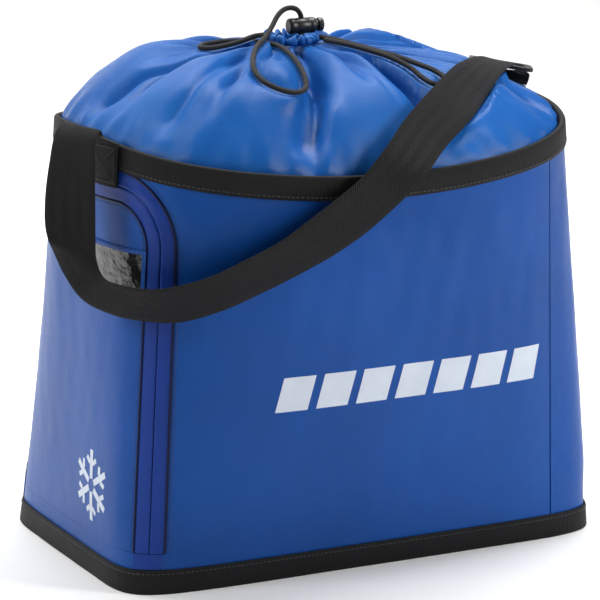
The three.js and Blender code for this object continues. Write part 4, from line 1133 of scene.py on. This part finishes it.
lock_centre = (barrel_low[0] + 11 * MM, (barrel_low[1] + barrel_high[1]) / 2, (barrel_low[2] + barrel_high[2]) / 2)
BARREL = [
    (3.2, -11), (4.6, -11), (5.4, -10.7), (5.9, -10), (6, -9), (6, -6.5), (5.75, -6), (5.75, -5), (6, -4.5), (6, 0),
    (6, 4.5), (5.75, 5), (5.75, 6), (6, 6.5), (6, 9.2), (5.8, 10.2), (5.2, 10.9), (4.7, 11), (4.2, 10.6),
    (4.1, 9.5), (4.0, 6), (3, 5.9),
]  # fmt: skip
barrel = turned("lock_barrel_moulding", BARREL, lock_centre)
barrel.data.materials.append(ACETAL)
finish(barrel, "lock", "black_plastic", "lock_barrel")
PLUNGER = [
    (2.2, 8.4), (3.6, 8.4), (3.6, 12.9), (4.2, 13.2), (5.0, 13.5), (5.3, 14.2), (5.3, 15.4), (5.3, 16.4),
    (4.9, 17.2), (4.2, 17.6), (2.6, 17.45), (1.2, 17.3),
]  # fmt: skip
plunger = turned("lock_plunger_moulding", PLUNGER, lock_centre, flutes=(12, 0.35, 13.6, 17.0))
plunger.data.materials.append(ACETAL)
finish(plunger, "plunger", "black_plastic", "lock_plunger")
print("lock volumes", round(signed_volume(barrel) * 1e9), round(signed_volume(plunger) * 1e9), "mm3")


# %% Rounded castings from the frame's own solids
def rounded(node, name, radius, material, body, slot, segments=3):
    """A copy of a frame solid with its edges rounded."""
    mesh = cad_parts[node].data.copy()
    piece = bpy.data.objects.new(name, mesh)
    bpy.context.scene.collection.objects.link(piece)
    weld = piece.modifiers.new("weld", "WELD")
    weld.merge_threshold = 0.01 * MM
    flat = piece.modifiers.new("flat", "DECIMATE")
    flat.decimate_type = "DISSOLVE"
    flat.angle_limit = math.radians(2)
    bevel = piece.modifiers.new("edges", "BEVEL")
    bevel.width = radius
    bevel.segments = segments
    bevel.limit_method = "ANGLE"
    bevel.angle_limit = math.radians(35)
    evaluated = piece.evaluated_get(bpy.context.evaluated_depsgraph_get())
    made = bpy.data.meshes.new_from_object(evaluated)
    piece.modifiers.clear()
    piece.data = made
    made.materials.clear()
    made.materials.append(material)
    made.polygons.foreach_set("use_smooth", [True] * len(made.polygons))
    made.set_sharp_from_angle(angle=math.radians(50))
    return finish(piece, body, slot, node)


rounded("strap_adjuster", "strap_adjuster_moulding", 0.7 * MM, ACETAL, "bag", "black_plastic")
rounded("zip_slider", "zip_slider_casting", 0.35 * MM, GUNMETAL, "slider", "gunmetal")
rounded("pull_tab", "pull_tab_moulding", 0.5 * MM, PULL_RUBBER, "pull", "pull_rubber")

ring_points = np.array([v.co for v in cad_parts["pull_ring"].data.vertices])
ring_centre = ring_points.mean(axis=0)
_, _, axes = np.linalg.svd(np.unique(np.round(ring_points, 6), axis=0) - ring_centre, full_matrices=False)
angle = np.linspace(0, 2 * math.pi, 61)[:, None]
ring_line = ring_centre + 5.2 * MM * (axes[0] * np.cos(angle) + axes[1] * np.sin(angle))
ring = tube("pull_ring_wire", ring_line, 0.8 * MM, sides=12)
ring.data.materials.append(STEEL)
finish(ring, "ring", "steel", "pull_ring")
print("ring centre", np.round(ring_centre, 4))

# %% [markdown]
# ## Finishes for the pieces that stay
# The foam boards, the linings, the base, the card, the teeth and the spring already have their right shape,
# so they keep the frame's mesh and take a finish.

# %% Finish the frame's own pieces
STAYING = {
    "base_sheet": BASE_CLOTH, "base_board": BOARD, "floor_lining": LINING, "lining": LINING,
    "door_lining": LINING, "front_foam": FOAM, "far_end_foam": FOAM, "back_foam": FOAM, "door_foam": FOAM,
    "name_card": CARD, "zip_coil_shell": ZIP_NYLON, "zip_coil_door": ZIP_NYLON, "lock_spring": STEEL,
}  # fmt: skip
for node, material in STAYING.items():
    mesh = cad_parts[node].data
    mesh.materials.clear()
    mesh.materials.append(material)
print("finished", len(STAYING), "frame pieces")

# %% [markdown]
# ## The studio
# A white sweep with a light of its own, in a dim surround. The bag has a large light on its left, one overhead
# and a small one close to its right front. The end faces the large light, so it is paler than the front, and
# the small light falls off across the front from its upper right.

# %% The sweep
sweep_profile = [(-1.6, 0)] + [
    (1.4 + 0.9 * math.sin(a), 0.9 - 0.9 * math.cos(a)) for a in np.linspace(0, math.pi / 2, 24)
]
sweep_profile.append((2.3, 4.0))
sweep_grid = np.array([[(x, y * 1.0, z) for y, z in sweep_profile] for x in (-4.0, 4.0)])
points = sweep_grid.reshape(-1, 3)
count = len(sweep_profile)
faces = [[k, count + k, count + k + 1, k + 1] for k in range(count - 1)]
sweep = new_piece("studio_sweep", points * [1, 1.6, 1], faces)
sweep_paint, tree, shader = new_material("matt_white_paint", Roughness=0.9)
cloud = add_node(tree, "ShaderNodeTexNoise", {"Scale": 3.0}).outputs[0]
tree.links.new(ramp_between(tree, cloud, "#f4f4f3", "#f8f8f7"), shader.inputs["Base Color"])
sweep.data.materials.append(sweep_paint)


# %% The lights
def soft_light(name, place, size, power, aim=(0, 0, 0.2)):
    light = bpy.data.objects.new(name, bpy.data.lights.new(name, "AREA"))
    bpy.context.scene.collection.objects.link(light)
    light.data.shape = "RECTANGLE"
    light.data.size, light.data.size_y = size
    light.data.energy = power
    light.location = place
    light.rotation_euler = (Vector(aim) - light.location).to_track_quat("-Z", "Y").to_euler()
    return light


soft_light("large_left", (-2.3, 0.1, 1.6), (0.9, 0.9), 30)
soft_light("overhead", (0.7, 0.1, 2.2), (0.6, 0.6), 22)
soft_light("right_front", (0.75, -0.85, 0.75), (0.3, 0.4), 9, aim=(0.24, -0.1, 0.3))
soft_light("on_the_sweep", (0.0, 0.9, 2.8), (2.5, 0.8), 115, aim=(0.0, 2.2, 0.6))
world = bpy.data.worlds.new("bright_surround")
world.use_nodes = True
world.node_tree.nodes["Background"].inputs[0].default_value = linear("#ffffff")
world.node_tree.nodes["Background"].inputs[1].default_value = 0.15
bpy.context.scene.world = world
bpy.context.scene.view_settings.view_transform = "Standard"
print("studio ready")
